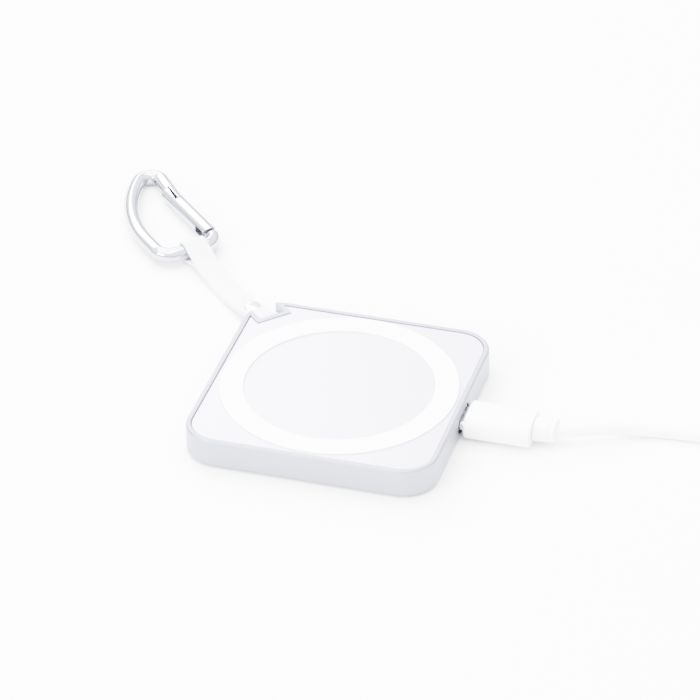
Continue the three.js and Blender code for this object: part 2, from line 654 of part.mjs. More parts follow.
function buildCarabiner(clip) {
  const rod = union(tube(clipCentreLine(), CLIP_ROD, 54, 10));
  const lapCut = plate(cornered(
    [NOSE_END - 1, NOSE_END_LAP], [NOSE_END, NOSE_END_LAP], [NOSE_ROOT, NOSE_ROOT_LAP],
    [NOSE_ROOT, 0], [NOSE_END - 1, 0],
  ), -3, 3);
  const tongue = union(
    box(GATE_PIVOT - TONGUE_START, 2 * TONGUE_RADIUS, 2 * TONGUE_HALF,
      (GATE_PIVOT + TONGUE_START) / 2, 0, 0),
    post(TONGUE_RADIUS, -TONGUE_HALF, TONGUE_HALF).translate(GATE_PIVOT, 0, 0),
  );
  const heelRoom = post(HEEL_ROOM, -3, 3, 32).translate(GATE_PIVOT, GATE_Y, 0);
  const pinHole = post(PIVOT_PIN_RADIUS + FIT_GAP, -3, 3).translate(GATE_PIVOT, GATE_Y, 0);
  const body = without(rod, lapCut, heelRoom)
    .add(tongue.translate([0, GATE_Y, 0]))
    .subtract(solidOf(pinHole));
  part('carabiner_body', geometryOf(body), polishedAluminium, clip);

  const hinge = group(clip, 0, GATE_Y, 0);
  const gateRod = rodAlongX(GATE_ROD, GATE_PIVOT, GATE_END);
  const heel = solidOf(rodAlongX(GATE_ROD, GATE_PIVOT - 3, GATE_PIVOT + 1))
    .intersect(solidOf(post(GATE_HEEL, -3, 3, 32).translate(GATE_PIVOT, 0, 0)));
  const lap = plate(cornered(
    [GATE_STEP, GATE_STEP_LAP], [GATE_STEP, 2 * GATE_Y], [GATE_END + 1, 2 * GATE_Y],
    [GATE_END + 1, GATE_END_LAP],
  ), -3, 3).translate(0, -GATE_Y, 0);
  const slot = box(GATE_SLOT_END, 6, 2 * GATE_SLOT_HALF, GATE_SLOT_END / 2, 0, 0);
  const bore = rodAlongX(BORE_RADIUS, GATE_SLOT_END - 1, BORE_END);
  const pivotHole = post(PIVOT_PIN_RADIUS + FIT_GAP, -3, 3).translate(GATE_PIVOT, 0, 0);
  const gate = without(solidOf(gateRod).add(heel), lap, slot, bore, pivotHole);
  part('carabiner_gate', geometryOf(gate), polishedAluminium, hinge);
  part('gate_pivot_pin', post(PIVOT_PIN_RADIUS, -GATE_ROD, GATE_ROD, 16).translate(GATE_PIVOT, 0, 0),
    steel, hinge);
  part('gate_plunger', rodAlongX(PLUNGER_RADIUS, PLUNGER_START, PLUNGER_END, 12), steel, hinge);
  const turns = SPRING_TURNS * 8;
  const helix = Array.from({ length: turns + 1 }, (_, i) => {
    const angle = (i / turns) * SPRING_TURNS * Math.PI * 2;
    return new THREE.Vector3(
      THREE.MathUtils.lerp(SPRING_START, SPRING_END - SPRING_WIRE, i / turns),
      SPRING_RADIUS * Math.cos(angle),
      SPRING_RADIUS * Math.sin(angle),
    );
  });
  part('gate_spring', tube(helix, SPRING_WIRE, turns, 4), steel, hinge);
}

// ---- cable --------------------------------------------------------------------------------

const coilRing = (slack) => turned([
  [CORD_COIL_INNER - slack, -slack], [CORD_COIL_OUTER + slack, -slack],
  [CORD_COIL_OUTER + slack, CORD_COIL_HEIGHT + slack],
  [CORD_COIL_INNER - slack, CORD_COIL_HEIGHT + slack], [CORD_COIL_INNER - slack, -slack],
], 32).translate(COIL_X, COIL_Y, 0);

function buildCord() {
  const room = coilRing(GAP);
  const lead = union(tube(toVectors(CORD_ROUTE), CORD_RADIUS, 14, 8));
  part('cord', geometryOf(without(lead, room)), whiteSatin, object);
  const tail = union(tube(toVectors(CORD_TAIL), CORD_RADIUS, 12, 8));
  part('cord_tail', geometryOf(without(tail, room)), whiteSatin, object);

  const width = CORD_COIL_OUTER - CORD_COIL_INNER + 2 * TIE_SLACK;
  const middle = (CORD_COIL_OUTER + CORD_COIL_INNER) / 2;
  const top = CORD_COIL_HEIGHT + TIE_SLACK;
  const tieFloor = TIE_THICKNESS + SLIP_GAP;
  const under = box(
    CORD_COIL_OUTER - CORD_COIL_INNER + 2, TIE_WIDTH + 2 * GAP, 2 * (tieFloor + TIE_SLACK),
    COIL_X - middle, COIL_Y, 0,
  );
  part('cord_coil', geometryOf(without(union(coilRing(0)), under)), whiteSatin, object);
  const wrap = roundedRectangle(width + 2 * TIE_THICKNESS, top - SLIP_GAP + TIE_THICKNESS, 1.2);
  const inside = roundedRectangle(width, top - tieFloor, 0.6);
  const centre = (top + tieFloor) / 2;
  const outside = acrossY(wrap, TIE_WIDTH).translate(0, 0, (top + TIE_THICKNESS + SLIP_GAP) / 2);
  const hole = acrossY(inside, TIE_WIDTH + 2).translate(0, 0, centre);
  const tie = geometryOf(without(solidOf(outside), hole));
  part('coil_tie', tie, whiteRubber, group(object, COIL_X - middle, COIL_Y, 0));
}

function buildFarPlug(far) {
  const shellEnd = FAR_OVERMOLD_START + FAR_POCKET - SLIP_GAP;
  const shell = union(alongX(plate(
    roundedRectangle(FAR_SHELL_WIDTH, FAR_SHELL_TALL, 0.5), FAR_SHELL_TIP, shellEnd, 3,
  )));
  const innerWidth = FAR_SHELL_WIDTH - 2 * FAR_SHELL_WALL;
  const innerTall = FAR_SHELL_TALL - 2 * FAR_SHELL_WALL;
  const bore = alongX(plate(
    roundedRectangle(innerWidth, innerTall, 0.3), FAR_SHELL_TIP - 1, shellEnd + 1, 3,
  ));
  const latches = [-2.9, 2.9].map((y) => box(2.2, 2.2, 10, FAR_SHELL_TIP + 6, y, 0));
  part('usb_a_shell', geometryOf(without(shell, bore, ...latches)), steel, far);
  part('usb_a_tongue', box(
    shellEnd - FAR_SHELL_TIP - 0.6, innerWidth - 0.3, 1.7,
    (shellEnd + FAR_SHELL_TIP + 0.6) / 2, 0, innerTall / 2 - 1,
  ), blackPlastic, far);
  const body = union(
    alongX(bevelledPlate(
      roundedRectangle(FAR_OVERMOLD_WIDTH, FAR_OVERMOLD_TALL, 2.2),
      FAR_OVERMOLD_START, FAR_OVERMOLD_END, 0.5, 2, 5,
    )),
    alongX(turned([
      [0, FAR_OVERMOLD_END - 2], [3.2, FAR_OVERMOLD_END - 2], [3.2, FAR_OVERMOLD_END],
      [2.2, FAR_BOOT_END - 0.2], [2, FAR_BOOT_END], [0, FAR_BOOT_END],
    ], 20)),
  );
  const pocket = alongX(plate(
    roundedRectangle(FAR_SHELL_WIDTH + 0.1, FAR_SHELL_TALL + 0.1, 0.55),
    FAR_OVERMOLD_START - 1, FAR_OVERMOLD_START + FAR_POCKET, 3,
  ));
  part('usb_a_overmold', geometryOf(without(body, pocket)), whiteSatin, far);
}

// ---- assembly -----------------------------------------------------------------------------

buildFrame();
buildTopPanel();
buildBottom();
buildBoard();
buildChargingCoil();
buildMagnets();

const port = group(object, 0, 0, PORT_HEIGHT);
buildSocket(port);
buildPlug(port);

const corner = group(object, 0, 0, 0);
corner.rotation.z = CORNER_TURN;
buildStrap(corner);
const clip = group(corner, CLIP_PLACE, CLIP_OFFSET, CLIP_HEIGHT);
clip.rotation.y = Math.asin((CLIP_HEIGHT - CLIP_TIP_HEIGHT) / CLIP_LENGTH);
buildCarabiner(clip);

buildCord();
buildFarPlug(group(object, 0, FAR_PLUG_Y, FAR_OVERMOLD_TALL / 2));

export default object;
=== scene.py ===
"""Square magnetic wireless charging pad, with its cable plugged in and a carabiner on a strap.

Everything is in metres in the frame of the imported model: the origin is on the table under the
pad's centre, +X points out of the cable's port and +Z is up.
"""

import json
import math

import bmesh
import bpy
from mathutils import Matrix, Vector


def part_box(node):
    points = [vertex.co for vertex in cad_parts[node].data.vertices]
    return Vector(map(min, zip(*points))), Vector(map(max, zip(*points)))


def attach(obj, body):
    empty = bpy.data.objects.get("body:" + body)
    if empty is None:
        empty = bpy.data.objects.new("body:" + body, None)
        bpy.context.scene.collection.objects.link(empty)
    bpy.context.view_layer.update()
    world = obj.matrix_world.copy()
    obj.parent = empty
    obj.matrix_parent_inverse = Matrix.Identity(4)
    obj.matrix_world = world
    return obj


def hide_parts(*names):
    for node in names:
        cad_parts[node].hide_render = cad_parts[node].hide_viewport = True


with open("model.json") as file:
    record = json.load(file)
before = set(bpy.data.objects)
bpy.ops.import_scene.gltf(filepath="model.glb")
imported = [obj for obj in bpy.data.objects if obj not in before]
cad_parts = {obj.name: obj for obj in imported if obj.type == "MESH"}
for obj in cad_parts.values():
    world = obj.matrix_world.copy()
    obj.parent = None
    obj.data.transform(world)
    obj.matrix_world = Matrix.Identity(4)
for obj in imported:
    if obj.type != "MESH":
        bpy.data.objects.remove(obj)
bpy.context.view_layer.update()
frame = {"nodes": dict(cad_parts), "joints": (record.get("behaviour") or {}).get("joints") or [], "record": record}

MM = 0.001
NODES = frame["nodes"]
JOINTS = {joint["name"]: joint for joint in frame["joints"]}


# ---- camera -------------------------------------------------------------------------------

AZIMUTH = math.radians(16.94)
ELEVATION = math.radians(33.97)
ROLL = math.radians(-0.83)
DISTANCE = 1.0078
SENSOR_WIDTH = 36
LENS = 222.9686
SIDE_SHIFT = -0.00248
RISE_SHIFT = -0.00796
LIP_HEIGHT = 0.0075


def make_camera():
    """A long lens, a metre away, turned a little about its own axis."""
    back = Vector((
        math.sin(AZIMUTH) * math.cos(ELEVATION),
        -math.cos(AZIMUTH) * math.cos(ELEVATION),
        math.sin(ELEVATION),
    ))
    level = Vector((math.cos(AZIMUTH), math.sin(AZIMUTH), 0))
    rise = back.cross(level)
    right = math.cos(ROLL) * level + math.sin(ROLL) * rise
    up = math.cos(ROLL) * rise - math.sin(ROLL) * level
    place = DISTANCE * back - SIDE_SHIFT * right - RISE_SHIFT * up + Vector((0, 0, LIP_HEIGHT))
    data = bpy.data.cameras.new("camera")
    data.sensor_width = SENSOR_WIDTH
    data.lens = LENS
    data.clip_start = 0.05
    data.clip_end = 20
    camera = bpy.data.objects.new("camera", data)
    turn = Matrix((right, up, back)).transposed().to_4x4()
    camera.matrix_world = Matrix.Translation(place) @ turn
    bpy.context.scene.collection.objects.link(camera)
    bpy.context.scene.camera = camera


make_camera()


# ---- materials ----------------------------------------------------------------------------

class Surface:
    """A node material with a Principled shader and the few nodes that the surfaces here share."""

    def __init__(self, name, color, roughness, metallic=0.0, **sockets):
        self.material = bpy.data.materials.new(name)
        self.material.use_nodes = True
        self.nodes = self.material.node_tree.nodes
        self.links = self.material.node_tree.links
        self.shader = self.nodes["Principled BSDF"]
        self.shader.inputs["Base Color"].default_value = (*color, 1)
        self.shader.inputs["Roughness"].default_value = roughness
        self.shader.inputs["Metallic"].default_value = metallic
        for socket, value in sockets.items():
            self.shader.inputs[socket.replace("_", " ").title()].default_value = value
        self.color = color
        self.roughness = roughness
        self.normal = None

    def coordinates(self, stretch=(1, 1, 1)):
        place = self.nodes.new("ShaderNodeTexCoord")
        mapping = self.nodes.new("ShaderNodeMapping")
        mapping.inputs["Scale"].default_value = stretch
        self.links.new(place.outputs["Object"], mapping.inputs["Vector"])
        return mapping.outputs["Vector"]

    def noise(self, grain, detail=3.0, stretch=(1, 1, 1)):
        """Noise whose blobs are about grain metres wide."""
        texture = self.nodes.new("ShaderNodeTexNoise")
        texture.inputs["Scale"].default_value = 1 / grain
        texture.inputs["Detail"].default_value = detail
        self.links.new(self.coordinates(stretch), texture.inputs["Vector"])
        return texture.outputs["Fac"]

    def remap(self, value, low, high):
        node = self.nodes.new("ShaderNodeMapRange")
        node.inputs["From Min"].default_value = 0.3
        node.inputs["From Max"].default_value = 0.7
        node.inputs["To Min"].default_value = low
        node.inputs["To Max"].default_value = high
        self.links.new(value, node.inputs["Value"])
        return node.outputs["Result"]

    def vary_roughness(self, grain, spread, stretch=(1, 1, 1)):
        value = self.remap(
            self.noise(grain, stretch=stretch), self.roughness - spread, self.roughness + spread
        )
        self.links.new(value, self.shader.inputs["Roughness"])
        return self

    def vary_color(self, grain, other, share=1.0):
        mix = self.nodes.new("ShaderNodeMix")
        mix.data_type = "RGBA"
        factor, first, second = mix.inputs[0], mix.inputs[6], mix.inputs[7]
        first.default_value = (*self.color, 1)
        second.default_value = (*other, 1)
        self.links.new(self.remap(self.noise(grain), 0, share), factor)
        self.links.new(mix.outputs[2], self.shader.inputs["Base Color"])
        return self

    def bump(self, height, depth, strength=1.0):
        """Adds relief of about depth metres from a height value of 0 to 1."""
        node = self.nodes.new("ShaderNodeBump")
        node.inputs["Strength"].default_value = strength
        node.inputs["Distance"].default_value = depth
        self.links.new(height, node.inputs["Height"])
        if self.normal:
            self.links.new(self.normal, node.inputs["Normal"])
        self.normal = node.outputs["Normal"]
        self.links.new(self.normal, self.shader.inputs["Normal"])
        return self


def satin_aluminium():
    """Clear anodised over fine bead blasting."""
    surface = Surface("satin_aluminium", (0.27, 0.275, 0.325), 0.42, 0.75)
    surface.vary_roughness(0.0004, 0.05)
    surface.vary_color(0.006, (0.25, 0.255, 0.305), 0.6)
    return surface.bump(surface.noise(0.00009, 2.0), 0.000012, 0.5).material


def polished_aluminium():
    """Tumble polished: bright, with faint waviness and hairline scuffs along the rod."""
    surface = Surface("polished_aluminium", (0.44, 0.445, 0.485), 0.09, 1.0)
    surface.vary_roughness(0.0011, 0.04)
    surface.bump(surface.noise(0.0022, 1.0), 0.00005, 0.3)
    return surface.bump(surface.noise(0.0002, 2.0), 0.000006, 0.3).material


def painted_recess_shade():
    """Painted shade on cut aluminium faces deep in recesses: dull and near black."""
    surface = Surface("painted_recess_shade", (0.07, 0.07, 0.08), 0.5, 0.6)
    surface.vary_roughness(0.0004, 0.1)
    return surface.bump(surface.noise(0.0002, 2.0, (8, 1, 1)), 0.00001, 0.5).material


def plated_steel(name="plated_steel", roughness=0.2):
    surface = Surface(name, (0.66, 0.67, 0.69), roughness, 1.0)
    surface.vary_roughness(0.0008, 0.06, (1, 6, 6))
    return surface.bump(surface.noise(0.00025, 2.0, (1, 5, 5)), 0.000005, 0.4).material


def gloss_panel():
    surface = Surface("gloss_panel", (0.55, 0.535, 0.66), 0.2, Coat_weight=0.3)
    surface.shader.inputs["Coat Roughness"].default_value = 0.06
    surface.vary_roughness(0.004, 0.025)
    surface.vary_color(0.012, (0.54, 0.525, 0.65), 0.5)
    return surface.bump(surface.noise(0.003, 1.0), 0.000012, 0.2).material


def white_silicone():
    surface = Surface("white_silicone", (0.95, 0.95, 0.955), 0.5)
    surface.vary_roughness(0.0006, 0.06)
    surface.vary_color(0.008, (0.94, 0.942, 0.95), 0.5)
    return surface.bump(surface.noise(0.00015, 2.0), 0.00001, 0.4).material


def moulded_white(name="moulded_white", roughness=0.36):
    """Cable plastic straight from a fine sparked mould."""
    surface = Surface(name, (0.93, 0.93, 0.94), roughness, Subsurface_weight=0.15)
    surface.shader.inputs["Subsurface Scale"].default_value = 0.0015
    surface.vary_roughness(0.0005, 0.05)
    surface.vary_color(0.01, (0.92, 0.922, 0.935), 0.5)
    return surface.bump(surface.noise(0.00012, 2.0), 0.000006, 0.35).material


def grey_rubber():
    surface = Surface("grey_rubber", (0.42, 0.43, 0.45), 0.75)
    surface.vary_roughness(0.0007, 0.08)
    surface.vary_color(0.004, (0.38, 0.39, 0.41), 0.7)
    return surface.bump(surface.noise(0.0002, 3.0), 0.00002, 0.6).material


def black_plastic():
    surface = Surface("black_plastic", (0.018, 0.018, 0.02), 0.42)
    surface.vary_roughness(0.0006, 0.08)
    return surface.bump(surface.noise(0.0001, 2.0), 0.000008, 0.4).material


def pale_leather():
    """Smooth synthetic leather: a fine pebble with softer patches."""
    surface = Surface("pale_leather", (0.74, 0.74, 0.77), 0.55)
    cells = surface.nodes.new("ShaderNodeTexVoronoi")
    cells.inputs["Scale"].default_value = 1 / 0.0004
    surface.links.new(surface.coordinates(), cells.inputs["Vector"])
    surface.vary_roughness(0.0012, 0.08)
    surface.vary_color(0.003, (0.69, 0.69, 0.725), 0.8)
    surface.bump(cells.outputs["Distance"], 0.00003, 0.55)
    return surface.bump(surface.noise(0.0015, 2.0), 0.00003, 0.3).material


def thread():
    surface = Surface("thread", (0.86, 0.86, 0.88), 0.7)
    surface.vary_roughness(0.0002, 0.1)
    return surface.bump(surface.noise(0.00008, 2.0, (1, 1, 4)), 0.00003, 0.7).material


def gold_contact():
    surface = Surface("gold_contact", (0.83, 0.62, 0.30), 0.22, 1.0)
    return surface.vary_roughness(0.0005, 0.07).material


def solder_mask():
    surface = Surface("solder_mask", (0.02, 0.13, 0.06), 0.3)
    surface.vary_color(0.0025, (0.03, 0.18, 0.09), 1.0)
    return surface.bump(surface.noise(0.0006, 2.0), 0.00002, 0.4).material


def ceramic(name, color, other):
    surface = Surface(name, color, 0.7)
    surface.vary_color(0.0008, other, 1.0)
    return surface.bump(surface.noise(0.0002, 3.0), 0.00002, 0.6).material


def copper():
    surface = Surface("enamelled_copper", (0.70, 0.33, 0.16), 0.3, 1.0)
    surface.vary_roughness(0.0006, 0.08)
    return surface.bump(surface.noise(0.0003, 2.0), 0.00003, 0.5).material


SATIN = satin_aluminium()
POLISHED = polished_aluminium()
# Near-black material that paints shade into the port and the carabiner's cuts.
RECESS_SHADE = painted_recess_shade()
STEEL = plated_steel()
MAGNET = plated_steel("nickel_plate", 0.3)
PANEL = gloss_panel()
SILICONE = white_silicone()
WHITE = moulded_white()
JACKET = moulded_white("cord_jacket", 0.42)
RUBBER = grey_rubber()
BLACK = black_plastic()
LEATHER = pale_leather()
THREAD = thread()
GOLD = gold_contact()
BOARD = solder_mask()
FERRITE = ceramic("ferrite", (0.035, 0.035, 0.04), (0.06, 0.06, 0.065))
CAPACITOR = ceramic("capacitor", (0.36, 0.24, 0.13), (0.42, 0.29, 0.17))
COPPER = copper()
SLOT_MATERIALS = {
    "satin_aluminium": SATIN,
    "polished_aluminium": POLISHED,
    "steel": STEEL,
    "magnet": MAGNET,
    "panel": PANEL,
    "white_rubber": SILICONE,
    "white_plastic": WHITE,
    "cord_jacket": JACKET,
    "grey_rubber": RUBBER,
    "black_plastic": BLACK,
    "strap": LEATHER,
    "board": BOARD,
    "ferrite": FERRITE,
    "capacitor": CAPACITOR,
    "copper": COPPER,
}


def dress_nodes():
    """Gives every carried-over node the material of its slot."""
    for row in frame["record"]["subparts"]:
        materials = NODES[row["node"]].data.materials
        materials.clear()
        materials.append(SLOT_MATERIALS[row["material_slot"]])


dress_nodes()


# ---- mesh helpers -------------------------------------------------------------------------

def object_from(name, mesh):
    piece = bpy.data.objects.new(name, mesh)
    bpy.context.scene.collection.objects.link(piece)
    return piece


def solid_from(name, vertices, faces):
    """Object of these vertices and faces, with its normals turned outwards."""
    mesh = bpy.data.meshes.new(name)
    mesh.from_pydata(vertices, [], faces)
    work = bmesh.new()
    work.from_mesh(mesh)
    bmesh.ops.recalc_face_normals(work, faces=work.faces)
    work.to_mesh(mesh)
    work.free()
    return object_from(name, mesh)


def build(name, rings, closed=False):
    """Skin over rings of equally many points; closed joins the last ring to the first."""
    count = len(rings[0])
    vertices = [point for ring in rings for point in ring]
    spans = len(rings) if closed else len(rings) - 1
    faces = []
    for i in range(spans):
        low = i * count
        high = (i + 1) % len(rings) * count
        for j in range(count):
            k = (j + 1) % count
            faces.append((low + j, low + k, high + k, high + j))
    if not closed:
        faces.append(tuple(reversed(range(count))))
        faces.append(tuple(range(len(vertices) - count, len(vertices))))
    return solid_from(name, vertices, faces)


def joined(name, *parts):
    """One object from several separate closed shells."""
    work = bmesh.new()
    for part in parts:
        work.from_mesh(part.data)
        bpy.data.objects.remove(part)
    mesh = bpy.data.meshes.new(name)
    work.to_mesh(mesh)
    work.free()
    return object_from(name, mesh)


def boolean(piece, *cutters, operation="DIFFERENCE"):
    """Cuts the piece by the cutters, or joins or intersects them, and removes the cutters."""
    for cutter in cutters:
        modifier = piece.modifiers.new("boolean", "BOOLEAN")
        modifier.operation = operation
        modifier.solver = "EXACT"
        modifier.object = cutter
        bpy.context.view_layer.update()
        shown = piece.evaluated_get(bpy.context.evaluated_depsgraph_get())
        mesh = bpy.data.meshes.new_from_object(shown)
        piece.modifiers.clear()
        old = piece.data
        piece.data = mesh
        bpy.data.meshes.remove(old)
        bpy.data.objects.remove(cutter)
    return piece


def finish_piece(piece, body, slot, material, *nodes, sharp=35, soften=True):
    """Shades, paints and mounts a piece, and hides the nodes it stands for."""
    mesh = piece.data
    mesh.materials.clear()
    mesh.materials.append(material)
    mesh.polygons.foreach_set("use_smooth", [True] * len(mesh.polygons))
    mesh.polygons.foreach_set("material_index", [0] * len(mesh.polygons))
    mesh.set_sharp_from_angle(angle=math.radians(sharp))
    if soften:
        modifier = piece.modifiers.new("weighted_normal", "WEIGHTED_NORMAL")
        modifier.keep_sharp = True
    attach(piece, body)
    if nodes:
        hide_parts(*nodes)
    return piece


def rounded_rectangle(width, height, radius, segments=10):
    """Points round a rectangle with round corners, anticlockwise."""
    points = []
    for quarter, (sx, sy) in enumerate(((1, 1), (-1, 1), (-1, -1), (1, -1))):
        for i in range(segments + 1):
            angle = math.pi / 2 * (quarter + i / segments)
            points.append((
                sx * (width / 2 - radius) + radius * math.cos(angle),
                sy * (height / 2 - radius) + radius * math.sin(angle),
            ))
    return points


def arc(x, y, radius, start, end, count):
    """Points of an arc in degrees, both ends included."""
    angles = [math.radians(start + (end - start) * i / count) for i in range(count + 1)]
    return [(x + radius * math.cos(a), y + radius * math.sin(a)) for a in angles]


def lathe(name, profile, sides, x=0.0, y=0.0):
    """Turned shape about a vertical axis. The profile's ends lie on the axis, or it closes."""
    closed = profile[0][0] > 0 or profile[-1][0] > 0
    rows = profile if closed else profile[1:-1]
    rings = []
    for radius, z in rows:
        rings.append([
            (
                x + radius * math.cos(2 * math.pi * j / sides),
                y + radius * math.sin(2 * math.pi * j / sides),
                z,
            )
            for j in range(sides)
        ])
    return build(name, rings, closed=closed)


def along_x(name, sections, segments=10, y=0.0, z=0.0, closed=False):
    """Skin over rounded rectangles at places along X: rows of x, width, height, corner radius."""
    rings = [
        [(x, y + u, z + v) for u, v in rounded_rectangle(width, height, radius, segments)]
        for x, width, height, radius in sections
    ]
    return build(name, rings, closed=closed)


def rounded_ends(start, end, width, height, radius, first, last, count=5):
    """Sections of a bar along X whose two end edges are rounded by the radii first and last."""
    rows = []
    for i in range(count + 1):
        angle = math.pi / 2 * i / count
        inset = first * (1 - math.sin(angle))
        rows.append((start + first * (1 - math.cos(angle)), inset))
    for i in range(count + 1):
        angle = math.pi / 2 * i / count
        inset = last * (1 - math.cos(angle))
        rows.append((end - last * (1 - math.sin(angle)), inset))
    return [
        (x, width - 2 * inset, height - 2 * inset, max(radius - inset, 0.0001))
        for x, inset in rows
    ]


def block(name, size, place, turn=0.0):
    """Plain box, for cutting only."""
    mesh = bpy.data.meshes.new(name)
    work = bmesh.new()
    bmesh.ops.create_cube(work, size=1)
    bmesh.ops.scale(work, vec=size, verts=work.verts)
    work.transform(Matrix.Rotation(turn, 4, "Z") @ Matrix.Translation(place))
    work.to_mesh(mesh)
    work.free()
    return object_from(name, mesh)


def smooth_route(points, per_span=6):
    """Centripetal Catmull-Rom curve through the points."""
    ends = [2 * points[0] - points[1], *points, 2 * points[-1] - points[-2]]
    route = []
    for a, b, c, d in zip(ends, ends[1:], ends[2:], ends[3:]):
        knots = [0.0]
        for p, q in ((a, b), (b, c), (c, d)):
            knots.append(knots[-1] + max((q - p).length, 1e-9) ** 0.5)
        for i in range(per_span):
            t0, t1, t2, t3 = knots
            t = t1 + (t2 - t1) * i / per_span
            a1 = a.lerp(b, (t - t0) / (t1 - t0))
            a2 = b.lerp(c, (t - t1) / (t2 - t1))
            a3 = c.lerp(d, (t - t2) / (t3 - t2))
            b1 = a1.lerp(a2, (t - t0) / (t2 - t0))
            b2 = a2.lerp(a3, (t - t1) / (t3 - t1))
            route.append(b1.lerp(b2, (t - t1) / (t2 - t1)))
    route.append(points[-1])
    return route


# ---- cable --------------------------------------------------------------------------------

CORD_DIAMETER = 3 * MM
CORD_ROUTE = [
    (51, 0.75, 3.5), (52.4, 0.95, 3.5), (54.5, 1.5, 3.5), (57, 2.45, 3.45), (60, 3.8, 3.3),
    (63, 5.3, 3), (66, 6.8, 2.5), (69, 8.15, 2), (72, 9.1, 1.65), (75, 9.65, 1.5), (79, 10, 1.5),
    (84, 10.3, 1.5), (90, 10.5, 1.5), (96, 10.58, 1.5), (103, 10.6, 1.5),
]
CORD_TAIL = [
    (133.9, 38.5, 4.4), (134.3, 43, 3.7), (134.5, 47.5, 2.6), (134.5, 52, 1.8),
    (134, 57, 1.5), (132.1, 61.6, 1.6), (129.2, 65.2, 2), (125.3, 67.8, 2.9), (121.7, 68.8, 3.7),
    (118.4, 69, 4),
]
COIL_CENTRE = (110, 34.1)
COIL_OUTER_TURN = 23.5
TURNS_PER_LAYER = 4
CLIMB_TURNS = 0.25
POINTS_PER_TURN = 32
CORD_MM = CORD_DIAMETER / MM
TIE_LIFT = 0.65
TIE_REACH = math.radians(24)


def coil_turns():
    """Flat spiral inwards on the table, then outwards on top of it, rising to pass the tie."""
    turns = 2 * TURNS_PER_LAYER + CLIMB_TURNS
    count = round(turns * POINTS_PER_TURN)
    points = []
    for i in range(count + 1):
        turn = turns * i / count
        inward = min(turn, TURNS_PER_LAYER)
        outward = max(turn - TURNS_PER_LAYER - CLIMB_TURNS, 0)
        radius = COIL_OUTER_TURN - (inward - outward) * CORD_MM
        climb = min(max((turn - TURNS_PER_LAYER) / CLIMB_TURNS, 0), 1)
        height = CORD_MM / 2 + CORD_MM * climb * climb * (3 - 2 * climb)
        angle = -math.pi / 2 + 2 * math.pi * turn
        from_tie = abs((angle % (2 * math.pi)) - math.pi)
        if from_tie < TIE_REACH:
            height += TIE_LIFT * math.cos(from_tie / TIE_REACH * math.pi / 2) ** 2
        points.append((
            COIL_CENTRE[0] + radius * math.cos(angle),
            COIL_CENTRE[1] + radius * math.sin(angle),
            height,
        ))
    return points


def make_cord():
    lead = smooth_route([Vector(p) for p in [*CORD_ROUTE, (110, 10.6, 1.5)]], 5)[:-1]
    turns = [Vector(p) for p in coil_turns()]
    tail = smooth_route([turns[-1], *(Vector(p) for p in CORD_TAIL)], 5)[1:]
    points = [p * MM for p in [*lead, *turns, *tail]]
    curve = bpy.data.curves.new("cable_cord", "CURVE")
    curve.dimensions = "3D"
    curve.bevel_depth = CORD_DIAMETER / 2
    curve.bevel_resolution = 6
    curve.use_fill_caps = True
    curve.twist_mode = "MINIMUM"
    spline = curve.splines.new("POLY")
    spline.points.add(len(points) - 1)
    for target, point in zip(spline.points, points):
        target.co = (*point, 1)
    spline.use_smooth = True
    curve.materials.append(JACKET)
    cord = bpy.data.objects.new("cable_cord", curve)
    bpy.context.scene.collection.objects.link(cord)
    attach(cord, "cable")
    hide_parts("cord", "cord_coil", "cord_tail")
    return cord


def make_coil_tie():
    """Silicone strap round the bundle, with a raised button."""
    low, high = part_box("coil_tie")
    middle = (low + high) / 2
    span = high - low
    thickness = 0.65 * MM
    profile = []
    for inset, half in ((0, 0.42), (0.12, 0.5), (0.5, 0.5), (0.88, 0.5), (1, 0.42),
                        (1, -0.42), (0.88, -0.5), (0.5, -0.5), (0.12, -0.5), (0, -0.42)):
        depth = inset * thickness
        profile.append([
            (middle.x + u, middle.y + half * span.y, middle.z + v)
            for u, v in rounded_rectangle(
                span.x - 2 * depth, span.z - 2 * depth, 1.2 * MM - depth * 0.9)
        ])
    band = build("band", profile, closed=True)
    button = lathe("button", [
        (0, high.z - 0.2 * MM), (1.5 * MM, high.z - 0.2 * MM), (1.5 * MM, high.z + 0.35 * MM),
        (1.35 * MM, high.z + 0.5 * MM), (0.4 * MM, high.z + 0.55 * MM), (0, high.z + 0.55 * MM),
    ], 40, middle.x, middle.y)
    return finish_piece(
        joined("coil_strap", band, button), "cable", "white_rubber", SILICONE, "coil_tie")


def make_plug_overmold():
    """Flattened grip of the USB-C plug: fully rounded sides and softly rounded ends."""
    low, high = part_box("plug_overmold")
    size = high - low
    sections = rounded_ends(
        low.x, high.x, size.y, size.z, size.z / 2 - 0.02 * MM, 0.6 * MM, 0.35 * MM, 6)
    body = along_x("usb_c_grip", sections, 14, 0, (low.z + high.z) / 2)
    shell_low, shell_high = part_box("plug_shell")
    shell = shell_high - shell_low
    pocket = along_x("pocket", [
        (x, shell.y + 0.1 * MM, shell.z + 0.1 * MM, shell.z / 2)
        for x in (low.x - MM, shell_high.x + 0.05 * MM)
    ], 10, 0, (low.z + high.z) / 2)
    boolean(body, pocket)
    return finish_piece(body, "cable", "white_plastic", WHITE, "plug_overmold")


COLLAR_WIDTH_RATIO = 1.25
COLLAR_OFFSET = 0.25 * MM
COLLAR_BEND = 0.12


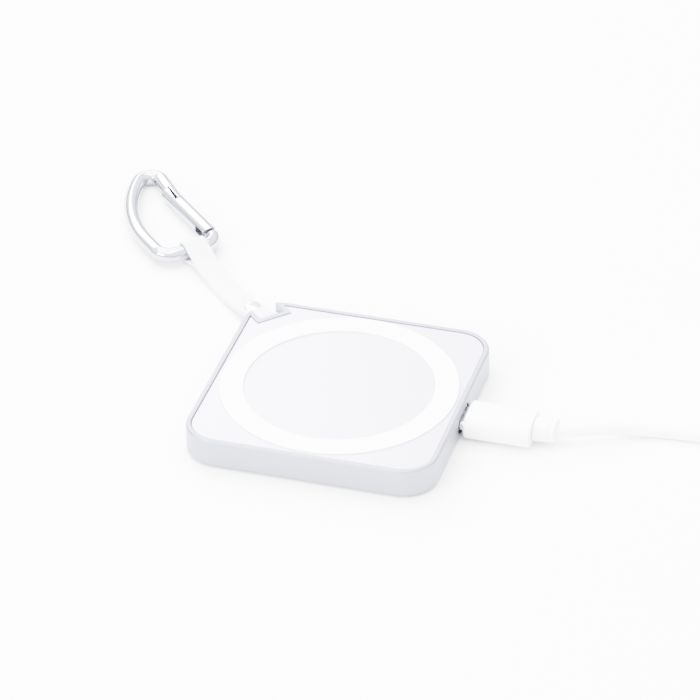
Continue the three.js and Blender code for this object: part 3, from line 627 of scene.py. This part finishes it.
def make_strain_relief():
    """Oval collar behind the grip, leaning with the cord, with a groove before its end."""
    low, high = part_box("strain_relief")
    size = high - low
    reach = high.x - low.x
    width = COLLAR_WIDTH_RATIO * size.z
    profile = [
        (0.0, 0.9), (0.015, 0.94), (0.045, 0.985), (0.08, 1.0), (0.3, 0.99), (0.6, 0.985),
        (0.71, 0.98), (0.735, 0.965), (0.75, 0.93), (0.775, 0.915), (0.8, 0.915), (0.825, 0.93),
        (0.84, 0.965), (0.865, 0.98), (0.93, 0.98), (0.965, 0.965), (0.99, 0.93), (1.0, 0.88),
    ]
    sections = [
        (low.x + share * reach, width * scale, size.z * scale, size.z * scale / 2 - 1e-6)
        for share, scale in profile
    ]
    collar = along_x("cord_collar", sections, 12, 0, (low.z + high.z) / 2)
    for vertex in collar.data.vertices:
        vertex.co.y += COLLAR_OFFSET + COLLAR_BEND * (vertex.co.x - low.x)
    return finish_piece(collar, "cable", "white_plastic", WHITE, "strain_relief", sharp=50)


def stadium_tube(name, start, end, width, tall, wall, z, back=None):
    """Metal tube with a stadium section and eased rims; back closes it at that place."""
    ease = wall * 0.35
    outer = [(start, ease), (start + ease, 0), (end - ease, 0), (end, ease)]
    inner = [(end, wall - ease), (end - ease, wall), (start + ease, wall), (start, wall - ease)]
    if back is not None:
        inner = [(end, wall - ease), (end - ease, wall), (back, wall)]
    sections = [
        (x, width - 2 * inset, tall - 2 * inset, tall / 2 - inset - 1e-6)
        for x, inset in [*outer, *inner]
    ]
    return along_x(name, sections, 12, 0, z, closed=back is None)


def make_connectors():
    low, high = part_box("plug_shell")
    tip = stadium_tube("usb_c_tip", low.x, high.x, high.y - low.y, high.z - low.z, 0.3 * MM,
                       (low.z + high.z) / 2)
    finish_piece(tip, "cable", "steel", STEEL, "plug_shell")
    low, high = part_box("socket_shell")
    socket = stadium_tube("usb_c_socket", low.x, high.x, high.y - low.y, high.z - low.z,
                          0.3 * MM, (low.z + high.z) / 2, low.x + 0.3 * MM)
    finish_piece(socket, "pad", "steel", STEEL, "socket_shell")


def make_far_plug():
    """USB-A plug: ribbed boot and grip, folded steel shell with latch windows, contact tongue."""
    low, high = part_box("usb_a_overmold")
    middle_y = (low.y + high.y) / 2
    middle_z = (low.z + high.z) / 2
    size = high - low
    boot_start = low.x + 20 * MM
    corner = 2.3 * MM
    grip = rounded_ends(low.x, boot_start, size.y, size.z, corner, 0.8 * MM, 1.2 * MM, 5)
    boot = [(boot_start, 6.6 * MM, 6.4 * MM, 3.2 * MM - 1e-6)]
    ribs = 4
    for i in range(ribs):
        at = boot_start + (0.9 + 1.6 * i) * MM
        outer = (6.1 - 0.42 * i) * MM
        for shift, narrow in ((0, 0), (0.5, 0), (0.6, 0.55), (1.0, 0.55), (1.1, 0)):
            side = outer - narrow * MM
            boot.append((at + shift * MM, side, side, side / 2 - 1e-6))
    for shift, side in ((0.4, 4.3), (0.1, 4.2), (0, 3.9)):
        boot.append((high.x - shift * MM, side * MM, side * MM, side * MM / 2 - 1e-6))
    body = along_x("usb_a_grip", [*grip, *boot], 10, middle_y, middle_z)
    shell_low, shell_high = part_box("usb_a_shell")
    shell = shell_high - shell_low
    pocket = along_x("pocket", [
        (x, shell.y + 0.1 * MM, shell.z + 0.1 * MM, 0.6 * MM)
        for x in (low.x - MM, shell_high.x + 0.05 * MM)
    ], 6, middle_y, middle_z)
    boolean(body, pocket)
    for side in (-1, 1):
        for i in range(5):
            place = (low.x + (7 + 1.6 * i) * MM, middle_y, middle_z + side * size.z / 2)
            groove = block("groove", (0.6 * MM, 8 * MM, 0.5 * MM), place)
            boolean(body, groove)
    finish_piece(body, "cable", "white_plastic", WHITE, "usb_a_overmold")

    wall = 0.35 * MM
    ease = 0.1 * MM
    sections = [
        (x, shell.y - 2 * inset, shell.z - 2 * inset, max(0.6 * MM - inset, 0.1 * MM))
        for x, inset in (
            (shell_low.x, ease), (shell_low.x + ease, 0), (shell_high.x, 0),
            (shell_high.x, wall), (shell_low.x + ease, wall), (shell_low.x, wall - ease),
        )
    ]
    case = along_x("usb_a_case", sections, 6, middle_y, middle_z, closed=True)
    for side in (-1, 1):
        place = (shell_low.x + 6 * MM, middle_y + side * 2.9 * MM, middle_z)
        boolean(case, block("window", (2.2 * MM, 2.2 * MM, 10 * MM), place))
    finish_piece(case, "cable", "steel", STEEL, "usb_a_shell")

    low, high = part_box("usb_a_tongue")
    size = high - low
    tongue = along_x("usb_a_insert", rounded_ends(
        low.x, high.x, size.y, size.z, 0.25 * MM, 0.2 * MM, 0.05 * MM, 3,
    ), 4, middle_y, (low.z + high.z) / 2)
    finish_piece(tongue, "cable", "black_plastic", BLACK, "usb_a_tongue")
    strips = []
    for offset, reach in ((-3.5, 7.4), (-1, 6.4), (1, 6.4), (3.5, 7.4)):
        strips.append(along_x(f"strip_{len(strips)}", rounded_ends(
            low.x + 0.5 * MM, low.x + (0.5 + reach) * MM, MM, 0.16 * MM, 0.07 * MM,
            0.05 * MM, 0.05 * MM, 2,
        ), 3, middle_y + offset * MM, low.z))
    finish_piece(joined("usb_a_contacts", *strips), "cable", "steel", GOLD)


cord_piece = make_cord()
tie_piece = make_coil_tie()
grip_piece = make_plug_overmold()
collar_piece = make_strain_relief()
make_connectors()
make_far_plug()


# ---- pad ----------------------------------------------------------------------------------

FRAME_CORNER = 8.33 * MM
PORT_WIDTH = 9.8 * MM
PORT_TALL = 4.3 * MM
WALL = 1.2 * MM
CORNER_TURN = math.radians(135)
NOTCH_HALF = 3.3 * MM
NOTCH_START = 33.6 * MM
BOSS_PLACE = 20.65 * MM
RING_INNER = 22.3 * MM
RING_GAP = 0.09 * MM
FRAME_LOW, FRAME_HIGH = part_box("frame")
PORT_HEIGHT = (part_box("plug_shell")[0].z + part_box("plug_shell")[1].z) / 2


def square_rings(side, corner, profile, segments=20):
    """Rings of a rounded square, one for each inset and height of the profile."""
    return [
        [(u, v, z) for u, v in rounded_rectangle(
            side - 2 * inset, side - 2 * inset, corner - inset, segments)]
        for inset, z in profile
    ]


def corner_block(name, half, start, low, high):
    """Cutter across the back left corner, outwards from start along the diagonal."""
    reach = 14 * MM
    return block(name, (reach, 2 * half, high - low), (start + reach / 2, 0, (low + high) / 2),
                 CORNER_TURN)


def make_frame():
    """Chamfered square wall with a ledge, the strap's notch, a port lined with painted shade, screw bosses."""
    side = FRAME_HIGH.x - FRAME_LOW.x
    low, top = FRAME_LOW.z, FRAME_HIGH.z
    ledge_low, ledge_high = 5.6 * MM, 6.05 * MM
    profile = [
        (0.45 * MM, low), (0.3 * MM, low), (0.15 * MM, low + 0.05 * MM),
        (0.04 * MM, low + 0.17 * MM), (0, low + 0.35 * MM),
        (0, top - 0.42 * MM), (0.02 * MM, top - 0.36 * MM), (0.06 * MM, top - 0.31 * MM),
        (0.29 * MM, top - 0.05 * MM), (0.34 * MM, top - 0.01 * MM), (0.41 * MM, top),
        (WALL - 0.12 * MM, top), (WALL - 0.05 * MM, top - 0.02 * MM),
        (WALL - 0.01 * MM, top - 0.06 * MM), (WALL, top - 0.13 * MM),
        (WALL, ledge_high), (WALL + MM, ledge_high), (WALL + MM, ledge_low), (WALL, ledge_low),
        (WALL, low + 0.1 * MM), (WALL - 0.1 * MM, low),
    ]
    shell = build("frame_shell", square_rings(side, FRAME_CORNER, profile), closed=True)
    wall = corner_block("wall", NOTCH_HALF + WALL, NOTCH_START - WALL, low, top - 0.01 * MM)
    outer = build("outer", square_rings(side, FRAME_CORNER, profile[2:10]))
    boolean(wall, outer, operation="INTERSECT")
    boolean(shell, wall, operation="UNION")
    notch = corner_block("notch", NOTCH_HALF, NOTCH_START, low - MM, top + MM)
    port = along_x("port", [
        (x, PORT_WIDTH, PORT_TALL, PORT_TALL / 2 - 1e-6)
        for x in (side / 2 - 3 * MM, side / 2 + MM)
    ], 16, 0, PORT_HEIGHT)
    rim = along_x("rim", [
        (x, PORT_WIDTH + 2 * grow, PORT_TALL + 2 * grow, PORT_TALL / 2 + grow - 1e-6)
        for x, grow in ((side / 2 - 0.15 * MM, 0), (side / 2 + 0.05 * MM, 0.2 * MM))
    ], 16, 0, PORT_HEIGHT)
    boolean(shell, notch, port, rim)
    for sx in (-1, 1):
        for sy in (-1, 1):
            boss = lathe("boss", [
                (0.95 * MM, 1.85 * MM), (2.2 * MM, 1.85 * MM), (2.2 * MM, 4.6 * MM),
                (0.95 * MM, 4.6 * MM),
            ], 32, sx * BOSS_PLACE, sy * BOSS_PLACE)
            boolean(shell, boss, operation="UNION")
    finish_piece(shell, "pad", "satin_aluminium", SATIN, "frame", sharp=32)
    # The faces inside the port take the near-black material as painted shade.
    shell.data.materials.append(RECESS_SHADE)
    for face in shell.data.polygons:
        x, y, z = face.center
        in_port = abs(y) < PORT_WIDTH / 2 + 0.01 * MM and abs(z - PORT_HEIGHT) < PORT_TALL / 2
        if in_port and side / 2 - WALL - 0.5 * MM < x < side / 2 - 0.2 * MM:
            face.material_index = 1


def make_top_panel():
    low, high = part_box("top_panel")
    side = high.x - low.x
    top = high.z
    profile = [
        (0, low.z), (0, top - 0.2 * MM), (0.03 * MM, top - 0.1 * MM),
        (0.1 * MM, top - 0.03 * MM), (0.2 * MM, top),
    ]
    plate = build("panel_plate", square_rings(side, FRAME_CORNER - WALL - 0.15 * MM, profile))
    ring_low, ring_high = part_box("grip_ring")
    outer = ring_high.x + RING_GAP
    inner = RING_INNER - RING_GAP
    groove = lathe("groove", [
        (inner, ring_low.z - 0.02 * MM), (outer, ring_low.z - 0.02 * MM),
        (outer, top + MM), (inner, top + MM),
    ], 192)
    clearance = corner_block("clearance", NOTCH_HALF + WALL + 0.12 * MM,
                             NOTCH_START - WALL - 0.12 * MM, low.z - MM, top + MM)
    boolean(plate, groove, clearance)
    return finish_piece(plate, "pad", "panel", PANEL, "top_panel", sharp=32)


def make_grip_ring():
    low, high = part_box("grip_ring")
    inner, outer = RING_INNER, high.x
    ease = 0.22 * MM
    profile = [
        (inner, low.z), (outer, low.z),
        *arc(outer - ease, high.z - ease, ease, 0, 90, 4),
        *arc(inner + ease, high.z - ease, ease, 90, 180, 4),
    ]
    ring = lathe("magnet_ring_cover", profile, 192)
    return finish_piece(ring, "pad", "white_rubber", SILICONE, "grip_ring")


def make_base_pad():
    low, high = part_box("base_pad")
    radius = high.x
    ease = 0.3 * MM
    tread = []
    for i in range(9):
        at = (4 + 2 * i) * MM
        tread += [(at, 0), (at + 0.1 * MM, 0.12 * MM), (at + 0.5 * MM, 0.12 * MM),
                  (at + 0.6 * MM, 0)]
    profile = [
        (0, 0), *tread, *arc(radius - ease, ease, ease, -90, 0, 4),
        (radius, high.z - 0.1 * MM), (radius - 0.1 * MM, high.z), (0, high.z),
    ]
    foot = lathe("table_pad", [(0, 0), (0.5 * MM, 0), *profile[1:-1], (0, high.z)], 128)
    return finish_piece(foot, "pad", "grey_rubber", RUBBER, "base_pad")


make_frame()
make_top_panel()
make_grip_ring()
make_base_pad()


# ---- strap --------------------------------------------------------------------------------

STRAP_WIDTH = 6 * MM
STRAP_LAYER = 0.66 * MM
STRAP_SAG = 2.4 * MM
EYE_TAPER = 0.35
ACROSS = Vector(JOINTS["strap_swing"]["axis"])
PIN = Vector(JOINTS["strap_swing"]["pos_m"])
BAR = Vector(JOINTS["carabiner_swing"]["pos_m"])
OUTWARD = Vector((-ACROSS.y, ACROSS.x, 0))
PIN_PLACE = PIN.dot(OUTWARD)
BAR_PLACE = BAR.dot(OUTWARD)
PIN_EYE = 0.95 * MM
BAR_EYE = 2.03 * MM
RIVET_PLACE = 44 * MM
RIVET_RADIUS = 2.1 * MM


def at_corner(along, across, height):
    """Point from its distance out along the corner's diagonal, across it, and up."""
    return OUTWARD * along - ACROSS * across + Vector((0, 0, height))


def eye_profile(distance, radius):
    """Half the height of a teardrop eye at a distance from its centre, towards its point."""
    if distance < radius * EYE_TAPER:
        return math.sqrt(max(radius ** 2 - distance ** 2, 0))
    return max((radius - distance * EYE_TAPER) / math.sqrt(1 - EYE_TAPER ** 2), 0)


def strap_middle(place):
    share = min(max((place - PIN_PLACE) / (BAR_PLACE - PIN_PLACE), 0), 1)
    straight = PIN.z + (BAR.z - PIN.z) * share
    return straight - STRAP_SAG * math.sin(math.pi * share) ** 2


def layer_offset(place):
    """Height of the upper layer's middle over the strap's middle."""
    inside = PIN_PLACE < place < BAR_PLACE
    heights = (
        0.53 * STRAP_LAYER if inside else 0,
        eye_profile(place - PIN_PLACE, PIN_EYE + STRAP_LAYER / 2),
        eye_profile(BAR_PLACE - place, BAR_EYE + STRAP_LAYER / 2),
    )
    return sum(height ** 8 for height in heights) ** (1 / 8) if inside else max(heights)


def strap_loop(count=72):
    """The closed line down the middle of the folded band, as (place, height)."""
    start = PIN_PLACE - PIN_EYE - STRAP_LAYER / 2
    end = BAR_PLACE + BAR_EYE + STRAP_LAYER / 2
    places = [start + (end - start) * (1 - math.cos(math.pi * i / count)) / 2
              for i in range(count + 1)]
    upper = [(x, strap_middle(x) + layer_offset(x)) for x in places]
    lower = [(x, strap_middle(x) - layer_offset(x)) for x in places[1:-1]]
    return [*upper, *reversed(lower)]


def make_strap():
    loop = strap_loop()
    section = rounded_rectangle(STRAP_LAYER, STRAP_WIDTH, 0.26 * MM, 4)
    rings = []
    for i, (place, height) in enumerate(loop):
        before, after = loop[i - 1], loop[(i + 1) % len(loop)]
        along = Vector((after[0] - before[0], after[1] - before[1])).normalized()
        normal = Vector((-along.y, along.x))
        rings.append([
            at_corner(place + normal.x * u, v, height + normal.y * u) for u, v in section
        ])
    band = build("strap_band", rings, closed=True)
    return finish_piece(band, "strap", "strap", LEATHER, "strap", sharp=60)


def make_stitches():
    """Two rows of thread on each face of the strap."""
    pitch = 1.7 * MM
    start = PIN_PLACE + 3.4 * MM
    count = int((BAR_PLACE - 8 * MM - start) / pitch)
    faces = []
    vertices = []
    around, along = 8, 6
    for face in (-1, 1):
        for row in (-1, 1):
            for i in range(count):
                centre = start + (i + 0.5) * pitch
                first = len(vertices)
                for k in range(along + 1):
                    t = -1 + 2 * k / along
                    place = centre + t * 0.62 * MM
                    lift = face * (1.03 * STRAP_LAYER - 0.02 * MM) * (1 - 0.12 * t * t)
                    radius = 0.15 * MM * math.sqrt(max(1 - t * t, 0.06))
                    for j in range(around):
                        angle = 2 * math.pi * j / around
                        vertices.append(at_corner(
                            place, row * 2.3 * MM + radius * math.cos(angle),
                            strap_middle(place) + lift + radius * math.sin(angle)))
                for k in range(along):
                    for j in range(around):
                        a = first + k * around + j
                        b = first + k * around + (j + 1) % around
                        faces.append((a, b, b + around, a + around))
                faces.append(tuple(range(first, first + around)))
                last = first + along * around
                faces.append(tuple(reversed(range(last, last + around))))
    rows = solid_from("strap_stitches", vertices, faces)
    return finish_piece(rows, "strap", "strap", THREAD, sharp=80, soften=False)


def make_rivet():
    """Domed cap above and a flatter one below, each with a rolled rim."""
    slope = (strap_middle(RIVET_PLACE + MM) - strap_middle(RIVET_PLACE - MM)) / (2 * MM)
    tilt = Matrix.Rotation(math.atan(slope), 4, ACROSS)
    move = Matrix.Translation(at_corner(RIVET_PLACE, 0, strap_middle(RIVET_PLACE)))
    for name, node, side, rise in (("rivet_dome", "rivet_cap", 1, 0.75),
                                   ("rivet_base", "rivet_stud", -1, 0.5)):
        face = STRAP_LAYER + 0.06 * MM
        profile = [
            (0, 0.1 * MM), (0.8 * MM, 0.1 * MM), (0.8 * MM, face),
            (RIVET_RADIUS - 0.12 * MM, face), (RIVET_RADIUS, face + 0.1 * MM),
            (RIVET_RADIUS, face + 0.2 * MM), (RIVET_RADIUS - 0.1 * MM, face + 0.3 * MM),
            *[(RIVET_RADIUS * 0.92 * math.cos(a),
               face + 0.28 * MM + (rise - 0.28) * MM * math.sin(a))
              for a in (math.radians(9 * i) for i in range(1, 10))],
            (0, face + rise * MM),
        ]
        head = lathe(name, profile, 64)
        head.data.transform(move @ tilt.inverted() @ Matrix.Scale(side, 4, (0, 0, 1)))
        if side < 0:
            head.data.flip_normals()
        finish_piece(head, "strap", "steel", STEEL, node, sharp=45)


make_strap()
make_stitches()
make_rivet()


# ---- carabiner ----------------------------------------------------------------------------

ROD = 1.88
CORNER_RADIUS = 3.8
SPINE_Y = 7.8
SPINE_END = 8.6
SPINE_ARC = 40
SPINE_TURN = 43.4
TIP_ARC = 3.14
NOSE_SLOPE = 6.5
NOSE_BEND = 24
NOSE_END = 21.9
NOSE_ROOT = 27.8
NOSE_ROOT_LAP = -7.5
NOSE_END_LAP = -7.1
GATE_ROD = 2.1
GATE_Y = -7.2
GATE_STEP_LAP = -6.1
GATE_END_LAP = -7
GATE_PIVOT = 6
GATE_HEEL = 2.1
HEEL_ROOM = 3.2
TONGUE_START = 2.4
TONGUE_RADIUS = 1.3
TONGUE_HALF = 0.7
GATE_STEP = 21
GATE_END = 27.5
SLOT_HALF = 1
SLOT_END = 8.5
PIN_HOLE = 0.66


def clip_matrix():
    """From the carabiner's own millimetres, with its rod in the XY plane, to the row's metres."""
    z = Vector(JOINTS["gate_hinge"]["axis"]).normalized()
    x = Vector(JOINTS["plunger_slide"]["axis"]).normalized()
    y = z.cross(x)
    pivot = Vector(JOINTS["gate_hinge"]["pos_m"])
    origin = pivot - x * GATE_PIVOT * MM - y * GATE_Y * MM
    turn = Matrix((x, y, z)).transposed().to_4x4()
    return Matrix.Translation(origin) @ turn @ Matrix.Scale(MM, 4)


def clip_line():
    """Centre line of the body's rod, from the gate's hinge round to the nose."""
    quarter = 90
    reach = SPINE_ARC - TIP_ARC
    turn = math.radians(SPINE_TURN)
    tip_x = SPINE_END + reach * math.sin(turn)
    tip_y = SPINE_Y - SPINE_ARC + reach * math.cos(turn)
    points = [
        *arc(CORNER_RADIUS, GATE_Y + CORNER_RADIUS, CORNER_RADIUS, -90, -180, 14),
        *arc(CORNER_RADIUS, SPINE_Y - CORNER_RADIUS, CORNER_RADIUS, 180, 90, 14),
        *arc(SPINE_END, SPINE_Y - SPINE_ARC, SPINE_ARC, quarter, quarter - SPINE_TURN, 28),
        *arc(tip_x, tip_y, TIP_ARC, quarter - SPINE_TURN, -quarter - NOSE_SLOPE, 24)[1:],
    ]
    nose_x, nose_y = points[-1]
    slope = math.tan(math.radians(NOSE_SLOPE))
    for i in range(1, 9):
        x = nose_x + (NOSE_BEND - nose_x) * i / 8
        points.append((x, nose_y + (nose_x - x) * slope))
    return [*points, (NOSE_END, points[-1][1])]


def swept_rod(name, line, radius, sides=32, first_ease=0.0, last_ease=0.0):
    """Round rod along a line in the XY plane, with eased ends."""
    rings = []
    last = len(line) - 1
    for i, (x, y) in enumerate(line):
        ahead = Vector(line[min(i + 1, last)]) - Vector(line[max(i - 1, 0)])
        ahead.normalize()
        side = Vector((-ahead.y, ahead.x))
        eases = []
        if i == 0 and first_ease:
            eases = [(first_ease * (1 - math.cos(a)), first_ease * (1 - math.sin(a)))
                     for a in (math.radians(18 * k) for k in range(6))]
        elif i == last and last_ease:
            eases = [(-last_ease * (1 - math.sin(a)), last_ease * (1 - math.cos(a)))
                     for a in (math.radians(18 * k) for k in range(6))]
        for shift, inset in eases or [(0, 0)]:
            middle = Vector((x, y)) + ahead * shift
            rings.append([
                (
                    middle.x + side.x * (radius - inset) * math.cos(a),
                    middle.y + side.y * (radius - inset) * math.cos(a),
                    (radius - inset) * math.sin(a),
                )
                for a in (2 * math.pi * k / sides for k in range(sides))
            ])
    return build(name, rings)


def clip_piece(piece, body, slot, material, *nodes, recess=None, **words):
    """Mounts a carabiner piece; faces left by the cuts inside its rod take the near-black painted shade."""
    finish_piece(piece, body, slot, material, *nodes, **words)
    if recess:
        piece.data.materials.append(RECESS_SHADE)
        for face in piece.data.polygons:
            face.material_index = int(recess(face.center))
    piece.data.transform(CLIP)
    return piece


def slanted_block(name, start, end, start_y, end_y, far_y):
    """Cutter through the rods between two places along X, with one slanted side."""
    rings = [
        [(start, start_y, z), (end, end_y, z), (end, far_y, z), (start, far_y, z)]
        for z in (-3, 3)
    ]
    return build(name, rings)


def inside_rod(axis_y, radius, start, end):
    """Test for points well inside a rod along X, between two places."""
    def test(point):
        return start < point.x < end and math.hypot(point.y - axis_y, point.z) < radius
    return test


def make_clip_body():
    body = swept_rod("clip_body", clip_line(), ROD, last_ease=0.3)
    heel_room = lathe("heel_room", [(0, -3), (HEEL_ROOM, -3), (HEEL_ROOM, 3), (0, 3)], 64,
                      GATE_PIVOT, GATE_Y)
    lap = slanted_block("lap", NOSE_END - 2, NOSE_ROOT, NOSE_END_LAP, NOSE_ROOT_LAP, 0)
    boolean(body, heel_room, lap)
    tongue = along_x("tongue", [
        (x, 2 * TONGUE_RADIUS, 2 * TONGUE_HALF, 0.15) for x in (TONGUE_START, GATE_PIVOT)
    ], 3, GATE_Y, 0)
    end = lathe("end", [
        (0, -TONGUE_HALF), (TONGUE_RADIUS, -TONGUE_HALF), (TONGUE_RADIUS, TONGUE_HALF),
        (0, TONGUE_HALF),
    ], 40, GATE_PIVOT, GATE_Y)
    boolean(tongue, end, operation="UNION")
    boolean(body, tongue, operation="UNION")
    hole = lathe("hole", [(0, -3), (PIN_HOLE, -3), (PIN_HOLE, 3), (0, 3)], 32,
                 GATE_PIVOT, GATE_Y)
    boolean(body, hole)
    # Faces in the nose's lap and round the hinge get the near-black material as painted shade.
    nose = inside_rod(NOSE_ROOT_LAP, 1.7, NOSE_END - 1, NOSE_ROOT + 0.1)
    hinge = inside_rod(GATE_Y, 1.72, 2, GATE_PIVOT + 2)
    return clip_piece(
        body, "carabiner", "polished_aluminium", POLISHED, "carabiner_body", sharp=32,
        recess=lambda point: nose(point) or hinge(point))


def make_clip_gate():
    line = [(GATE_PIVOT + (GATE_END - GATE_PIVOT) * i / 10, GATE_Y) for i in range(11)]
    gate = swept_rod("clip_gate", line, GATE_ROD, last_ease=0.6)
    heel_line = [(GATE_PIVOT - 2.5 + 3.5 * i / 3, GATE_Y) for i in range(4)]
    heel = swept_rod("heel", heel_line, GATE_ROD)
    round_heel = lathe("round_heel", [(0, -3), (GATE_HEEL, -3), (GATE_HEEL, 3), (0, 3)], 64,
                       GATE_PIVOT, GATE_Y)
    boolean(heel, round_heel, operation="INTERSECT")
    boolean(gate, heel, operation="UNION")
    lap = slanted_block("lap", GATE_STEP, GATE_END + 1, GATE_STEP_LAP, GATE_END_LAP,
                        2 * GATE_Y)
    slot = block("slot", (SLOT_END, 6, 2 * SLOT_HALF), (SLOT_END / 2, GATE_Y, 0))
    hole = lathe("hole", [(0, -3), (PIN_HOLE, -3), (PIN_HOLE, 3), (0, 3)], 32,
                 GATE_PIVOT, GATE_Y)
    boolean(gate, lap, slot, hole)
    # Faces in the gate's lap and its slot get the near-black material as painted shade.
    lap_faces = inside_rod(GATE_Y, 1.95, GATE_STEP - 0.1, GATE_END - 0.7)
    slot_faces = inside_rod(GATE_Y, 1.9, 2, SLOT_END + 0.1)
    clip_piece(
        gate, "gate", "polished_aluminium", POLISHED, "carabiner_gate", sharp=32,
        recess=lambda point: lap_faces(point) or slot_faces(point))
    pin = lathe("gate_pin", [(0, -3), (PIN_HOLE - 0.03, -3), (PIN_HOLE - 0.03, 3), (0, 3)], 40,
                GATE_PIVOT, GATE_Y)
    skin = swept_rod("skin", [(GATE_PIVOT - 2, GATE_Y), (GATE_PIVOT + 2, GATE_Y)],
                     GATE_ROD - 0.02)
    boolean(pin, skin, operation="INTERSECT")
    clip_piece(pin, "gate", "steel", POLISHED, "gate_pivot_pin")


CLIP = clip_matrix()
make_clip_body()
make_clip_gate()


# ---- stage --------------------------------------------------------------------------------

def make_floor():
    mesh = bpy.data.meshes.new("floor")
    mesh.from_pydata([(-6, -6, 0), (6, -6, 0), (6, 6, 0), (-6, 6, 0)], [], [(0, 1, 2, 3)])
    floor = object_from("floor", mesh)
    surface = Surface("floor", (0.95, 0.95, 0.953), 0.6)
    mesh.materials.append(surface.vary_roughness(0.05, 0.03).material)


def area_light(name, place, target, width, height, power, color=(1, 1, 1)):
    data = bpy.data.lights.new(name, "AREA")
    data.shape = "RECTANGLE"
    data.size = width
    data.size_y = height
    data.energy = power
    data.color = color
    lamp = bpy.data.objects.new(name, data)
    lamp.location = place
    lamp.rotation_euler = (Vector(target) - Vector(place)).to_track_quat("-Z", "Y").to_euler()
    bpy.context.scene.collection.objects.link(lamp)


def light_studio():
    """Surroundings dim at the horizon and bright above, and three softboxes."""
    world = bpy.data.worlds.new("studio")
    world.use_nodes = True
    nodes = world.node_tree.nodes
    links = world.node_tree.links
    background = nodes["Background"]
    background.inputs["Color"].default_value = (0.93, 0.94, 1, 1)
    place = nodes.new("ShaderNodeTexCoord")
    split = nodes.new("ShaderNodeSeparateXYZ")
    rise = nodes.new("ShaderNodeMapRange")
    rise.interpolation_type = "SMOOTHSTEP"
    rise.inputs["From Min"].default_value = -0.05
    rise.inputs["From Max"].default_value = 0.5
    rise.inputs["To Min"].default_value = 1.0
    rise.inputs["To Max"].default_value = 7.5
    links.new(place.outputs["Generated"], split.inputs[0])
    links.new(split.outputs["Z"], rise.inputs["Value"])
    links.new(rise.outputs["Result"], background.inputs["Strength"])
    bpy.context.scene.world = world
    area_light("overhead", (-0.25, 0.05, 1.3), (0, 0, 0), 1.7, 1.4, 130)
    area_light("back_left", (-0.9, 1.0, 0.85), (0, 0, 0), 1.2, 0.5, 60)
    area_light("front_left", (-0.8, -1.05, 0.7), (0, 0, 0), 0.9, 0.6, 55)


make_floor()
light_studio()
